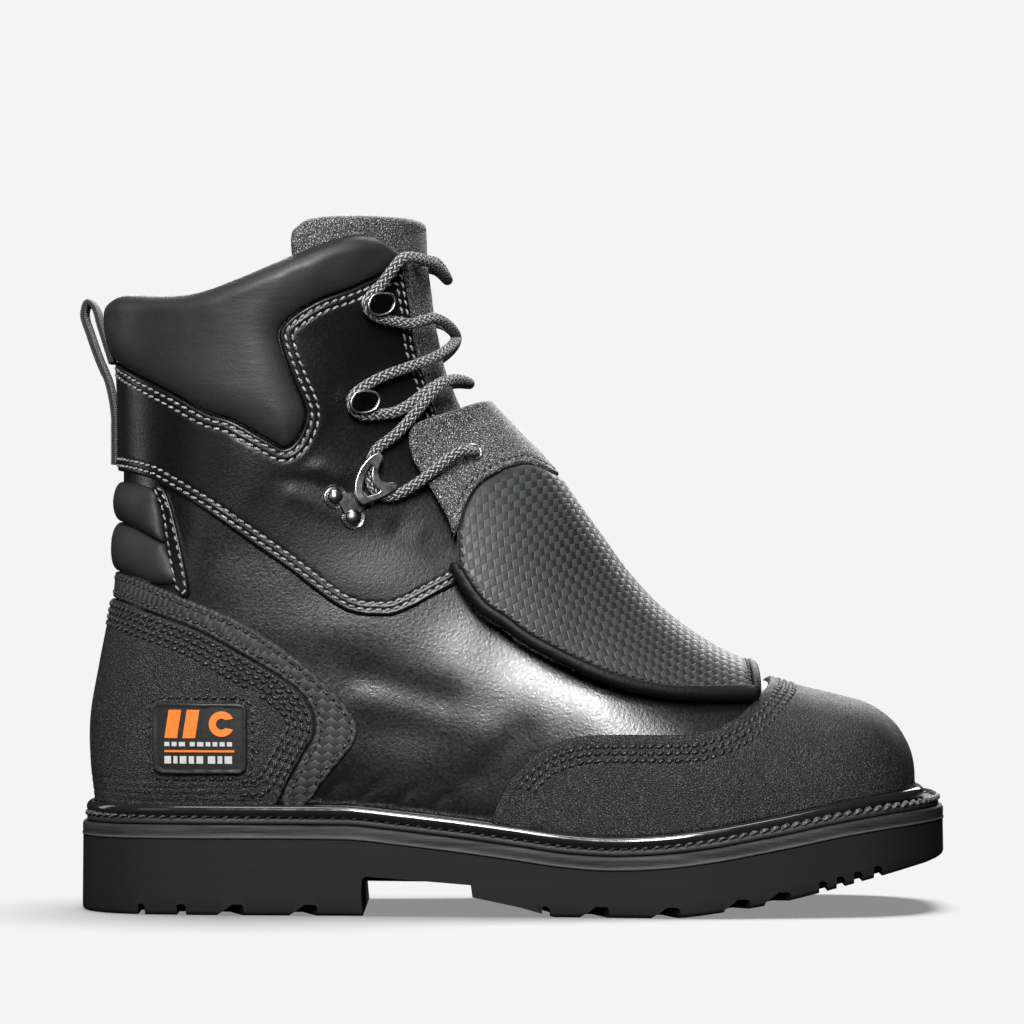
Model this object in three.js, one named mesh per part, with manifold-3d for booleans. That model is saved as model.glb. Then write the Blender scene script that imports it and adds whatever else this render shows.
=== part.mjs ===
// Metatarsal guard work boot, right foot. Millimetres, +Z up, toe to +X, outer side to -Y.
// The origin is on the floor under the middle of the heel tread.
import * as THREE from 'three';
import { mergeVertices } from 'three/addons/utils/BufferGeometryUtils.js';
import Module from 'manifold-3d';

const wasm = await Module();
wasm.setup();

// Driving dimensions
const soleLength = 318;
const bootHeight = 253;
const ballWidth = 103;
const heelLength = 105;
const soleHeight = 32.5;
const midsoleThickness = 5;
const toeSpring = 21;
const toeSwing = 6;
const wallThickness = 2.4;
const overlayThickness = 1.9;
const trimThickness = 1.4;
const gap = 0.3;
const weltThickness = 2.4;
const weltInset = 1;
const randRadius = 2.2;
const insoleThickness = 4;
const collarPuff = 5.2;
const collarBorder = 4;
const anklePuff = 3.6;
const ankleBorder = 2;
const tonguePad = 5.5;
const shieldThickness = 4.5;
const tabThickness = 2.4;
const rimStep = 0.9;
const rimWidth = 4;
const webbingWidth = 22;
const webbingThickness = 2.2;
const laceDiameter = 4;
const eyeletRadius = 3.4;
const eyeletBore = 2.1;
const eyeletHeight = 1.1;
const plateThickness = 1.4;
const rivetRadius = 3.2;
const badgeThickness = 1.6;
const lugDepth = 4;
const lugReach = 17;
const waistPlateWidth = 44;
const innerGroovePlace = 17;
const innerGrooveWidth = 4;

const heelBack = -(heelLength - 1) / 2;
const percent = 0.01;
const along = (share) => heelBack + share * percent * soleLength;
const up = (share) => share * percent * bootHeight;
const across = (share) => share * percent * ballWidth;

// One row a section, from the toe to the top of the shaft. The front and back ends lie in the side view
// as shares of the sole length and the boot height, and the half widths are shares of the ball width.
const sections = [
  // frontX, frontZ, backX, backZ, outer, inner, belly, roundTop, roundLow
  [95.7, 19.4, 95.7, 18.6, 1.0, 1.0, 0.50, 2.2, 2.2],
  [95.6, 21.5, 95.6, 14.4, 13.5, 13.5, 0.55, 2.3, 3.0],
  [94.9, 23.9, 94.9, 11.4, 23.5, 23.5, 0.58, 2.4, 4.0],
  [93.4, 26.6, 93.4, 10.4, 31.5, 32.0, 0.60, 2.5, 5.0],
  [90.9, 28.8, 90.9, 9.6, 38.0, 38.5, 0.60, 2.6, 5.0],
  [87.4, 30.1, 87.4, 8.4, 43.0, 43.5, 0.60, 2.6, 5.0],
  [82.4, 31.7, 82.7, 7.1, 46.5, 47.0, 0.62, 2.5, 5.0],
  [76.1, 34.2, 77.0, 6.2, 49.0, 48.5, 0.64, 2.4, 5.0],
  [71.5, 36.6, 71.7, 5.6, 50.5, 48.5, 0.66, 2.3, 5.0],
  [66.2, 40.7, 66.0, 5.4, 50.0, 47.0, 0.66, 2.2, 5.0],
  [61.3, 45.5, 59.7, 5.5, 48.0, 43.5, 0.64, 2.1, 5.0],
  [56.9, 50.8, 52.5, 5.9, 44.5, 39.5, 0.62, 2.0, 5.0],
  [53.1, 56.1, 44.0, 6.7, 41.5, 36.5, 0.60, 2.0, 5.0],
  [50.0, 61.9, 34.6, 7.7, 40.0, 36.0, 0.58, 2.0, 4.8],
  [47.2, 67.6, 24.2, 8.6, 39.5, 37.0, 0.55, 2.0, 4.4],
  [44.8, 72.7, 12.0, 9.0, 39.5, 38.0, 0.52, 2.0, 3.8],
  [43.1, 77.9, 3.6, 10.6, 39.5, 38.5, 0.50, 2.1, 3.0],
  [42.1, 83.0, 2.0, 17.5, 39.5, 39.0, 0.50, 2.1, 2.6],
  [41.5, 87.4, 1.6, 26.5, 40.0, 39.5, 0.50, 2.1, 2.4],
  [41.1, 91.3, 2.6, 35.2, 41.0, 40.5, 0.50, 2.1, 2.3],
  [40.8, 94.9, 4.1, 45.5, 42.0, 41.5, 0.50, 2.1, 2.2],
  [40.7, 98.0, 4.7, 57.3, 43.0, 42.5, 0.50, 2.1, 2.2],
  [40.6, 101.2, 4.8, 71.1, 44.0, 44.0, 0.50, 2.1, 2.2],
  [40.6, 104.3, 4.3, 83.8, 45.5, 45.5, 0.50, 2.1, 2.2],
  [40.6, 107.5, 4.4, 94.9, 46.5, 46.5, 0.50, 2.1, 2.2],
];

// Top face of the sole as a share of the sole height, by share of the sole length
const soleTopTable = [
  // at, top
  [-6, 1.0], [31, 1.0], [38, 0.93], [44, 0.86], [50, 0.78], [56, 0.70], [62, 0.675],
  [70, 0.735], [80, 0.90], [89, 1.07], [97, 1.165], [106, 1.2],
];

// Rise of the tread over the floor as a share of the toe spring
const treadTable = [
  // at, rise
  [0, 0], [68, 0], [73, 0.09], [79, 0.23], [85, 0.44], [91, 0.67], [97, 0.88], [101, 1.0],
];

// How far the sole reaches out past the upper, as a share of the ball width
const reachTable = [
  // at, reach
  [0, 7.6], [10, 6.8], [30, 5.4], [50, 5.8], [70, 6.4], [85, 8.0], [94, 12.0], [100, 13.4],
];

// Stand of the guard off the vamp at each section, as a share of the ball width
const guardTable = [
  // section, stand
  [5, 4.2], [6, 4.6], [7, 5.2], [8, 6.2], [9, 7.6], [10, 10.2], [11, 13.4], [12, 15.2],
  [13, 14.6], [14, 11.0], [15, 8.2], [16, 7.6], [18, 7.4],
];

// Side view outlines: share of the sole length, share of the boot height
const throatLine = [
  [36.7, 94.9], [37.8, 87], [38.4, 81.5], [39.5, 77.1], [42.1, 67.9], [45, 62.1], [48.4, 57.8], [52.5, 54.5],
];
const collarTopLine = [
  [-3, 88], [3.7, 88.4], [5.6, 88.8], [10.2, 88.4], [14.2, 88.8], [18.7, 90.7], [23.3, 93.1], [29, 96],
  [33, 97], [36.8, 94.8], [48, 84],
];
const padLine = [
  [-3, 81], [3.1, 80.3], [6.5, 77.9], [11.7, 74.4], [15.4, 71.8], [18.2, 70.7], [22.3, 67.8], [24, 66.8],
  [25.4, 68.4], [26.2, 71.8], [24.8, 76.5], [23.7, 80.5], [23.4, 83.3], [24.8, 85.5], [27.9, 87.9],
  [31.4, 89.6], [37.1, 93.2], [48, 100],
];
const quarterLine = [
  [-3, 64.6], [5, 63.4], [8.4, 62.5], [10.3, 61.4], [15.7, 57.1], [20.6, 52.7], [24.4, 49.3], [29.2, 44.7],
  [31.7, 43.1], [34.1, 42.7], [37.1, 43.1], [43.3, 47], [49, 49.5], [56, 51],
];
const anklePadLine = [[-3, 63.2], [8.1, 61.2], [9.6, 58.3], [10.3, 53], [11.1, 47.2], [-3, 50]];
const ankleSeam = [[-3, 57.4], [5.1, 56.1], [10.5, 53], [14, 52]];
const foldLine = [[8.7, 61.4], [10.5, 60.6], [12.2, 53.4], [13.2, 45.6], [11.6, 46.6], [10.7, 53], [10, 58.3]];
const trimLine = [
  [-3, 49.8], [4.4, 48.9], [9.4, 46.9], [14.2, 44.4], [19.4, 41.6], [24.6, 37.3], [28.4, 33.3], [31.1, 29.7],
  [32.3, 26.5], [31.5, 23.9], [29.7, 21.2], [26.6, 15.6], [25, 8], [-3, 8],
];
const counterLine = [
  [-3, 46.2], [4, 45], [9, 43], [14.2, 40.6], [19.4, 37], [23.3, 34.1], [25.9, 31.5], [27.1, 28.8],
  [27.3, 25.9], [25.9, 22.7], [23.5, 16.7], [22, 8], [-3, 8],
];
const toeCapLine = [
  [45.5, 6], [47.2, 12.8], [48.6, 17.4], [50.7, 21.1], [53.3, 23.9], [57.3, 25.6], [61.6, 25.9],
  [68.8, 25.8], [71.7, 26.2], [74.6, 27.6], [76.9, 29.7], [78.6, 31.6], [79.5, 33.4], [79.1, 38],
  [104, 38], [104, 6],
];
const tabLine = [
  [55, 74.5], [47.5, 73.9], [45.9, 73.5], [44.2, 72.7], [39.5, 70.6], [38.3, 68.9], [38.6, 65.4], [40.5, 61.3],
  [42.8, 56], [43.2, 51], [62, 51], [62, 70],
];
const seamLine = [
  [60, 61.5], [55.6, 62.8], [51.4, 64.7], [46.6, 62.1], [44.6, 58.6], [43.6, 55], [41, 50.4], [30, 46],
];
const shieldLine = [
  [43.2, 48.6], [45.8, 43.9], [48.6, 41.4], [51.5, 38.8], [57.3, 35.1], [61.6, 33], [65.9, 31.8],
  [70.2, 31.3], [77.8, 31.3], [78.4, 33], [78.2, 42], [70, 75], [42.4, 75], [42.6, 52],
];
const rimTop = 50.4;
const tongueLine = [
  [24.7, 95.8], [25.6, 98.4], [27.9, 99.6], [34, 100], [39.3, 99.8], [40.3, 98.4], [46, 97], [60, 60], [60, 47],
  [47, 50], [36, 58], [29.5, 72], [26, 86],
];
const loopOuter = [
  [4.3, 72], [2.4, 76.5], [1.1, 80.2], [0.2, 83.3], [-0.3, 87.3], [0.4, 88.6], [1.3, 88.6], [1.8, 87.3],
  [2.3, 85.5],
];
const loopInner = [[1.7, 84.2], [1.0, 87.0], [0.6, 87.0], [1.0, 83.9], [2.0, 80.6]];

// Hardware places in the side view
const speedHooks = { top: [33.8, 87.3], mid: [32.2, 73.3] };
const lockPlace = { nose: [34.2, 61.6], backRivet: [29.7, 59.7], lowRivet: [31.7, 56.8] };
const eyeletPlace = [45.3, 66];
const badgeCorners = [[9.3, 30.4], [19.8, 20.3]];

// Grooves between the edge lugs: share of the sole length, width in mm, slant
const grooves = [
  // at, width, slant
  [7.6, 2.6, 0], [12.2, 3.4, 0], [17.9, 9, 0.35], [26.2, 9.5, 0.35],
  [53.6, 2.8, 0], [59.2, 9.5, 0.35], [67.2, 9.5, 0.35], [75.2, 9.5, 0.35], [79.8, 9.5, 0.35],
  [84.9, 3, 0], [86.9, 3, 0], [88.9, 3, 0], [91.2, 3, 0],
];

// Long grooves on both sides of the middle: from, to
const innerGrooves = [[6, 30], [56, 70]];

const columns = 16;
const stations = 17;
const lastSection = sections.length - 1;
const slopeStep = 0.02;

// Smooth value of a table's column at a place between its rows
function blend(table, row, column) {
  const i = Math.min(Math.max(Math.floor(row), 0), table.length - 2);
  const f = row - i;
  const pick = (k) => table[Math.min(Math.max(k, 0), table.length - 1)][column];
  const [a, b, c, d] = [pick(i - 1), pick(i), pick(i + 1), pick(i + 2)];
  return b + 0.5 * f * (c - a + f * (2 * a - 5 * b + 4 * c - d + f * (3 * (b - c) + d - a)));
}

// Value of a two column table at a place given by its first column
function lookUp(table, at) {
  const first = table[0];
  const last = table[table.length - 1];
  if (at <= first[0]) return first[1];
  if (at >= last[0]) return last[1];
  const i = table.findIndex((row) => row[0] > at) - 1;
  const f = (at - table[i][0]) / (table[i + 1][0] - table[i][0]);
  return blend(table, i + f, 1);
}

const shareAlong = (x) => (x - heelBack) / (percent * soleLength);
const soleTop = (x) => soleHeight * lookUp(soleTopTable, shareAlong(x));
const tread = (x) => toeSpring * Math.max(lookUp(treadTable, shareAlong(x)), 0);
const reach = (x) => across(lookUp(reachTable, shareAlong(x)));
const weltTop = (x) => soleTop(x) + gap + weltThickness;
const randTop = (x) => weltTop(x) + gap + 2 * randRadius;

// Swing of the toe to the inner side
function centre(x) {
  const share = Math.min(Math.max((shareAlong(x) - 40) / 60, 0), 1);
  return toeSwing * share * share * (3 - 2 * share);
}

// Point on the last: t is the section, turn runs from the front by the outer side to the back and round
function lastPoint(t, turn) {
  const value = (column) => blend(sections, t, column);
  const outerSide = Math.sin(turn) >= 0;
  const c = Math.cos(turn);
  const s = Math.abs(Math.sin(turn));
  const power = c > 0 ? value(7) : value(8);
  const r = (Math.abs(c) ** power + s ** power) ** (-1 / power);
  const belly = value(6);
  const share = c > 0 ? belly * (1 - c * r) : belly - (1 - belly) * c * r;
  const x = along(value(0) + (value(2) - value(0)) * share);
  const z = up(value(1) + (value(3) - value(1)) * share);
  const width = across(outerSide ? value(4) : value(5)) * s * r;
  return new THREE.Vector3(x, centre(x) + (outerSide ? -width : width), z);
}

function lastNormal(t, turn) {
  const forward = lastPoint(Math.min(t + slopeStep, lastSection), turn);
  const behind = lastPoint(Math.max(t - slopeStep, 0), turn);
  const later = lastPoint(t, turn + slopeStep);
  const sooner = lastPoint(t, turn - slopeStep);
  return forward.sub(behind).cross(later.sub(sooner)).normalize();
}

const skin = (t, turn, lift) => lastPoint(t, turn).addScaledVector(lastNormal(t, turn), lift);

// A closed solid from points and faces, turned so that its faces point out
function solid(points, faces) {
  let volume = 0;
  for (const [a, b, c] of faces) {
    volume += points[a].dot(points[b].clone().cross(points[c]));
  }
  const order = volume > 0 ? [0, 1, 2] : [0, 2, 1];
  const triVerts = new Uint32Array(faces.flatMap((face) => order.map((k) => face[k])));
  const vertProperties = new Float32Array(points.flatMap((p) => [p.x, p.y, p.z]));
  return new wasm.Manifold(new wasm.Mesh({ numProp: 3, vertProperties, triVerts }));
}

function fromGeometry(geometry) {
  const bare = geometry.clone();
  bare.deleteAttribute('normal');
  bare.deleteAttribute('uv');
  const merged = mergeVertices(bare, 1e-4);
  const places = merged.getAttribute('position');
  const points = [...Array(places.count).keys()].map((i) => new THREE.Vector3().fromBufferAttribute(places, i));
  const index = merged.index.array;
  const faces = [];
  for (let i = 0; i < index.length; i += 3) faces.push([index[i], index[i + 1], index[i + 2]]);
  return solid(points, faces.filter(([a, b, c]) => a !== b && b !== c && c !== a));
}

// Rings of equal count joined side by side, closed by a fan at each end
function loft(rings) {
  const count = rings[0].length;
  const points = rings.flat();
  const faces = [];
  for (let i = 0; i + 1 < rings.length; i += 1) {
    for (let j = 0; j < count; j += 1) {
      const k = (j + 1) % count;
      faces.push([i * count + j, i * count + k, (i + 1) * count + k]);
      faces.push([i * count + j, (i + 1) * count + k, (i + 1) * count + j]);
    }
  }
  const ends = [[0, true], [rings.length - 1, false]];
  for (const [ring, flip] of ends) {
    const middle = rings[ring].reduce((sum, p) => sum.add(p), new THREE.Vector3()).divideScalar(count);
    points.push(middle);
    for (let j = 0; j < count; j += 1) {
      const a = ring * count + j;
      const b = ring * count + (j + 1) % count;
      faces.push(flip ? [b, a, points.length - 1] : [a, b, points.length - 1]);
    }
  }
  return solid(points, faces);
}

// The last grown by a lift, which may change from place to place
function tube(lift, from = 0, to = lastSection, rows = stations, cols = columns) {
  const rings = [];
  for (let i = 0; i <= rows; i += 1) {
    const t = from + (to - from) * (i / rows);
    const ring = [];
    for (let j = 0; j < cols; j += 1) {
      const turn = (2 * Math.PI * j) / cols;
      const amount = typeof lift === 'function' ? lift(t, turn) : lift;
      ring.push(skin(t, turn, amount));
    }
    rings.push(ring);
  }
  return loft(rings);
}

const place2 = ([x, z]) => new THREE.Vector2(along(x), up(z));
const wide = 90;

// A side view outline taken right through the boot
function prism(outline, from = -wide, to = wide) {
  const shape = new THREE.Shape(outline);
  const geometry = new THREE.ExtrudeGeometry(shape, { depth: to - from, bevelEnabled: false });
  geometry.rotateX(Math.PI / 2);
  geometry.translate(0, to, 0);
  return fromGeometry(geometry);
}

// A closed outline moved out by a distance, or in where it is negative
function grow(outline, distance) {
  const turned = THREE.ShapeUtils.area(outline) > 0 ? 1 : -1;
  const count = outline.length;
  return outline.map((p, i) => {
    const a = outline[(i + count - 1) % count];
    const b = outline[(i + 1) % count];
    const first = p.clone().sub(a).normalize();
    const second = b.clone().sub(p).normalize();
    const bisector = new THREE.Vector2(first.y + second.y, -(first.x + second.x)).normalize();
    const stretch = 1 / Math.max(bisector.dot(new THREE.Vector2(first.y, -first.x)), 0.5);
    return p.clone().addScaledVector(bisector, turned * distance * stretch);
  });
}

const outlineOf = (table) => table.map(place2);
const above = (line, top) => {
  const points = outlineOf(line);
  const last = points[points.length - 1];
  return [...points, new THREE.Vector2(last.x, up(top)), new THREE.Vector2(points[0].x, up(top))];
};

// Everything under a height that follows the sole
function under(height) {
  const count = 18;
  const points = [];
  for (let i = 0; i <= count; i += 1) {
    const x = along(-6 + (112 * i) / count);
    points.push(new THREE.Vector2(x, height(x)));
  }
  points.push(new THREE.Vector2(along(106), up(-8)), new THREE.Vector2(along(-6), up(-8)));
  return prism(points);
}

const openThroat = (line) => {
  const points = outlineOf(line);
  const top = up(112);
  return [...points, place2([62, 54.5]), new THREE.Vector2(along(62), top), new THREE.Vector2(points[0].x, top)];
};

const skinTube = tube(0);
const overFoot = tube(gap);
const throatPrism = prism(openThroat(throatLine));
const throatGrown = prism(grow(openThroat(throatLine), gap));
const overCollar = prism(above(collarTopLine, 112));
const belowRand = under((x) => randTop(x) + gap);
const padPrism = prism(above(padLine, 112));
const padGrown = prism(grow(above(padLine, 112), gap));

// A sheet of the last's own form between two lifts, inside a side view outline
function sheet(outer, outline, cuts = []) {
  let piece = outer.subtract(overFoot).intersect(outline);
  for (const cut of cuts) piece = piece.subtract(cut);
  return piece;
}

// Plan curve where the last meets the top of the sole, from the toe to the heel on one side
function featherSide(outerSide, height) {
  const turnAt = (t) => {
    let high = outerSide ? 0 : 2 * Math.PI;
    let low = Math.PI;
    const isOver = (turn) => {
      const p = lastPoint(t, turn);
      return p.z > height(p.x);
    };
    if (isOver(low)) return null;
    for (let i = 0; i < 30; i += 1) {
      const middle = (high + low) / 2;
      if (isOver(middle)) high = middle;
      else low = middle;
    }
    return (high + low) / 2;
  };
  const found = [];
  const fine = 400;
  for (let i = 0; i <= fine; i += 1) {
    const t = (lastSection * i) / fine;
    const turn = turnAt(t);
    if (turn !== null) found.push(lastPoint(t, turn));
  }
  found[0].y = centre(found[0].x);
  found[found.length - 1].y = centre(found[found.length - 1].x);
  return found;
}

// Points at even steps along a curve, closer together at both ends
function resample(points, count) {
  const lengths = [0];
  for (let i = 1; i < points.length; i += 1) {
    lengths.push(lengths[i - 1] + points[i].distanceTo(points[i - 1]));
  }
  const total = lengths[lengths.length - 1];
  return [...Array(count + 1).keys()].map((k) => {
    const even = k / count;
    const wanted = total * (even - (0.55 * Math.sin(2 * Math.PI * even)) / (2 * Math.PI));
    const i = Math.max(lengths.findIndex((length) => length >= wanted - 1e-9), 1);
    const f = (wanted - lengths[i - 1]) / (lengths[i] - lengths[i - 1]);
    return points[i - 1].clone().lerp(points[i], f);
  });
}

const sideCount = 17;

// The loop runs from the toe by the outer side to the heel and back by the inner side
function featherLoop(height) {
  const outer = resample(featherSide(true, height), sideCount);
  const inner = resample(featherSide(false, height), sideCount);
  return [...outer, ...inner.slice(1, -1).reverse()];
}

const feather = featherLoop(soleTop);

// A loop grown in plan by a distance that may follow x
function planLoop(distance, height, loop = feather) {
  const count = loop.length;
  return loop.map((p, i) => {
    const a = loop[(i + count - 1) % count];
    const b = loop[(i + 1) % count];
    const way = new THREE.Vector2(b.x - a.x, b.y - a.y).normalize();
    const grown = typeof distance === 'function' ? distance(p.x) : distance;
    const x = p.x - way.y * grown;
    const y = p.y + way.x * grown;
    return new THREE.Vector3(x, y, height(x));
  });
}

// A slab of the sole: rings from the bottom up, capped by strips from side to side
function slab(levels) {
  const rings = levels.map(([distance, height]) => planLoop(distance, height));
  const count = feather.length;
  const points = rings.flat();
  const faces = [];
  for (let i = 0; i + 1 < rings.length; i += 1) {
    for (let j = 0; j < count; j += 1) {
      const k = (j + 1) % count;
      faces.push([i * count + j, i * count + k, (i + 1) * count + k]);
      faces.push([i * count + j, (i + 1) * count + k, (i + 1) * count + j]);
    }
  }
  const partner = (j) => (count - j) % count;
  for (const [ring, flip] of [[0, true], [rings.length - 1, false]]) {
    const base = ring * count;
    for (let j = 0; j < sideCount; j += 1) {
      const quad = [j, j + 1, partner(j + 1), partner(j)].map((k) => base + k);
      const halves = [[quad[0], quad[1], quad[2]], [quad[0], quad[2], quad[3]]];
      for (const half of halves.filter(([a, b, c]) => a !== b && b !== c && c !== a)) {
        faces.push(flip ? [half[0], half[2], half[1]] : half);
      }
    }
  }
  return solid(points, faces);
}

const soleReach = (inset) => (x) => reach(x) - inset;
const midsoleBottom = (x) => soleTop(x) - midsoleThickness;

function box(centrePoint, size, spin = 0) {
  const geometry = new THREE.BoxGeometry(size[0], size[1], size[2]);
  geometry.rotateZ(spin);
  geometry.translate(centrePoint[0], centrePoint[1], centrePoint[2]);
  return fromGeometry(geometry);
}

function makeOutsole() {
  const edgeRound = 1.6;
  let sole = slab([
    [soleReach(edgeRound), (x) => tread(x)],
    [soleReach(0), (x) => tread(x) + edgeRound],
    [soleReach(0.2), (x) => midsoleBottom(x) - gap],
  ]);
  const breast = heelBack + heelLength;
  const archTop = 0.44 * soleHeight;
  const archFront = 0.35 * soleHeight;
  const treadStart = along(45.1);
  const arch = [
    [breast, -5], [breast - 1.2, 0.6 * archTop], [breast, archTop], [treadStart, archFront],
    [treadStart + 0.6, 7], [along(50.8), 3.4], [along(54.6), 0], [along(54.6), -5],
  ];
  sole = sole.subtract(prism(arch.map(([x, z]) => new THREE.Vector2(x, z))));
  const plateLength = along(43.6) - breast;
  const plate = box([breast + plateLength / 2 - 1, 0, archTop - 1.5], [plateLength, waistPlateWidth, 4]);
  sole = sole.add(plate);
  for (const [from, to] of innerGrooves) {
    for (const side of [-1, 1]) {
      const length = along(to) - along(from);
      const middle = [along((from + to) / 2), side * innerGroovePlace, tread(along((from + to) / 2))];
      sole = sole.subtract(box(middle, [length, innerGrooveWidth, 1.2 * lugDepth]));
    }
  }
  for (const [at, width, slant] of grooves) {
    for (const side of [-1, 1]) {
      const x = along(at);
      const start = Math.abs(edgeAt(x, side)) - lugReach;
      const middle = side * (start + lugReach);
      const cut = box([x, middle, tread(x)], [width, 2 * lugReach, 2 * lugDepth], side * slant);
      sole = sole.subtract(cut);
    }
  }
  return sole;
}

// Where the edge of the sole lies at x on one side
function edgeAt(x, side) {
  const loop = planLoop(soleReach(0), () => 0).filter((p) => side * (p.y - centre(p.x)) > 0);
  const nearest = loop.reduce((best, p) => (Math.abs(p.x - x) < Math.abs(best.x - x) ? p : best));
  return nearest.y;
}

function makeMidsole() {
  const swell = 0.5;
  return slab([
    [soleReach(0.4), midsoleBottom],
    [soleReach(0.4 - swell), (x) => midsoleBottom(x) + 0.5 * midsoleThickness],
    [soleReach(0.4), soleTop],
  ]);
}

// A closed ring swept round the foot through sections of equal count
function ringSweep(loop, section) {
  const count = loop.length;
  const sides = section(loop[0], new THREE.Vector3(1, 0, 0)).length;
  const points = [];
  const faces = [];
  loop.forEach((p, i) => {
    const a = loop[(i + count - 1) % count];
    const b = loop[(i + 1) % count];
    points.push(...section(p, new THREE.Vector3(a.y - b.y, b.x - a.x, 0).normalize()));
  });
  for (let i = 0; i < count; i += 1) {
    const n = (i + 1) % count;
    for (let k = 0; k < sides; k += 1) {
      const m = (k + 1) % sides;
      faces.push([i * sides + k, n * sides + k, n * sides + m]);
      faces.push([i * sides + k, n * sides + m, i * sides + m]);
    }
  }
  return solid(points, faces);
}

function makeWelt() {
  const clear = 4 * gap;
  return ringSweep(featherLoop(weltTop), (p, out) => {
    const corner = (distance, height) => {
      const q = p.clone().addScaledVector(out, distance);
      return q.setZ(height(q.x));
    };
    const ledge = reach(p.x) - weltInset - clear;
    const low = (x) => soleTop(x) + gap;
    return [corner(clear, low), corner(ledge, low), corner(ledge, weltTop), corner(clear, weltTop)];
  });
}

// Bead round the foot of the upper
function makeRand() {
  const sides = 6;
  const middle = (x) => weltTop(x) + gap + randRadius;
  return ringSweep(featherLoop(middle), (p, out) => [...Array(sides).keys()].map((k) => {
    const angle = (2 * Math.PI * (k + 0.5)) / sides;
    const q = p.clone().addScaledVector(out, randRadius * (1 + Math.cos(angle)) + 4 * gap);
    return q.setZ(middle(q.x) + randRadius * Math.sin(angle));
  }));
}

function makeInsole() {
  const inside = tube(-wallThickness - gap);
  const low = under((x) => soleTop(x) + 3 * gap);
  const high = under((x) => soleTop(x) + 3 * gap + insoleThickness);
  return inside.intersect(high).subtract(low);
}

function makeUpper() {
  return skinTube
    .subtract(tube(-wallThickness))
    .subtract(under((x) => soleTop(x) + 2 * gap))
    .subtract(throatPrism)
    .subtract(overCollar);
}

// Padded roll round the top: a low border along its seams and a full roll inside them
function makeCollar() {
  const roll = grow(above(padLine, 112), -collarBorder);
  const rim = above(collarTopLine, 112).map((p) => p.clone().setY(p.y - collarBorder));
  const low = sheet(tube(gap + 0.5 * collarPuff), padPrism, [overCollar]);
  return low.add(sheet(tube(gap + collarPuff), prism(roll), [prism(rim)]));
}

function makeQuarters() {
  const outline = prism(above(quarterLine, 112));
  const ring = sheet(tube(gap + overlayThickness), outline, [padGrown, throatGrown, overCollar]);
  const split = gap / 2;
  return {
    quarter_outer: ring.intersect(box([100, -wide / 2 - split, 120], [400, wide, 300])),
    quarter_inner: ring.intersect(box([100, wide / 2 + split, 120], [400, wide, 300])),
  };
}

// Two puffs above the counter, each with a low border
function makeAnklePads(trimGrown) {
  const outline = outlineOf(anklePadLine);
  const seam = above(ankleSeam, 80);
  const low = sheet(tube(gap + 0.5 * anklePuff), prism(outline), [trimGrown]);
  const high = sheet(tube(gap + anklePuff), prism(grow(outline, -ankleBorder)), [trimGrown]);
  const upperHigh = high.intersect(prism(grow(seam, -ankleBorder)));
  const lowerHigh = high.subtract(prism(grow(seam, ankleBorder)));
  return {
    achilles_pad_upper: low.intersect(prism(seam)).add(upperHigh),
    achilles_pad_lower: low.subtract(prism(grow(seam, gap))).add(lowerHigh),
  };
}

const guardStand = (t, turn) => {
  const side = (1 - Math.cos(turn)) / 2;
  return across(lookUp(guardTable, t)) * (1 - 0.45 * side) + 2 * side;
};

function makeGuard() {
  const shell = (outer, thickness) => {
    const over = tube((t, turn) => guardStand(t, turn) + outer, 4, 18, 18, columns);
    return over.subtract(tube((t, turn) => guardStand(t, turn) - thickness, 4, 18, 18, columns));
  };
  const outline = outlineOf(shieldLine);
  const seam = above(seamLine, 100);
  const seamGrown = prism(grow(seam, gap));
  const shield = shell(0, shieldThickness).intersect(prism(grow(outline, -rimWidth)));
  const rim = shell(rimStep, shieldThickness).intersect(prism(outline));
  const overRim = prism(outlineOf([[30, rimTop], [90, rimTop], [90, 90], [30, 90]]));
  return {
    guard_shield: shield.subtract(seamGrown),
    guard_rim: rim.subtract(prism(grow(outline, gap - rimWidth))).subtract(overRim),
    guard_tab: shell(0, tabThickness).intersect(prism(outlineOf(tabLine))).intersect(prism(seam)),
  };
}

function makeTongue() {
  const outer = tube(-wallThickness - gap);
  return outer.subtract(tube(-wallThickness - gap - tonguePad)).intersect(prism(outlineOf(tongueLine)));
}

// Section and turn of the outer side whose lifted point lies at a side view place
function seatOf(place, lift) {
  const target = place2(place);
  let aim = target.clone();
  let found = null;
  for (let round = 0; round < 8; round += 1) {
    let best = Infinity;
    for (let t = 1; t < lastSection; t += 0.02) {
      const a = place2([blend(sections, t, 0), blend(sections, t, 1)]);
      const b = place2([blend(sections, t, 2), blend(sections, t, 3)]);
      const way = b.clone().sub(a);
      const share = aim.clone().sub(a).dot(way) / way.lengthSq();
      const off = aim.distanceTo(a.clone().addScaledVector(way, share));
      if (share > 0 && share < 1 && off < best) {
        best = off;
        found = { t, turn: turnFor(t, share) };
      }
    }
    const amount = typeof lift === 'function' ? lift(found.t, found.turn) : lift;
    const p = skin(found.t, found.turn, amount);
    aim = aim.add(target).sub(new THREE.Vector2(p.x, p.z));
  }
  return found;
}

function turnFor(t, share) {
  const belly = blend(sections, t, 6);
  const front = share < belly;
  const power = blend(sections, t, front ? 7 : 8);
  const u = front ? 1 - share / belly : (share - belly) / (1 - belly);
  const w = (1 - Math.min(u, 1) ** power) ** (1 / power);
  return Math.atan2(w, front ? u : -u);
}

// Frame on the skin: z out of the surface, x forward
function frameAt({ t, turn }, lift) {
  const amount = typeof lift === 'function' ? lift(t, turn) : lift;
  const origin = skin(t, turn, amount);
  const out = lastNormal(t, turn);
  const forward = new THREE.Vector3(1, 0, 0).addScaledVector(out, -out.x).normalize();
  const sideways = out.clone().cross(forward);
  return new THREE.Matrix4().makeBasis(forward, sideways, out).setPosition(origin);
}

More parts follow.
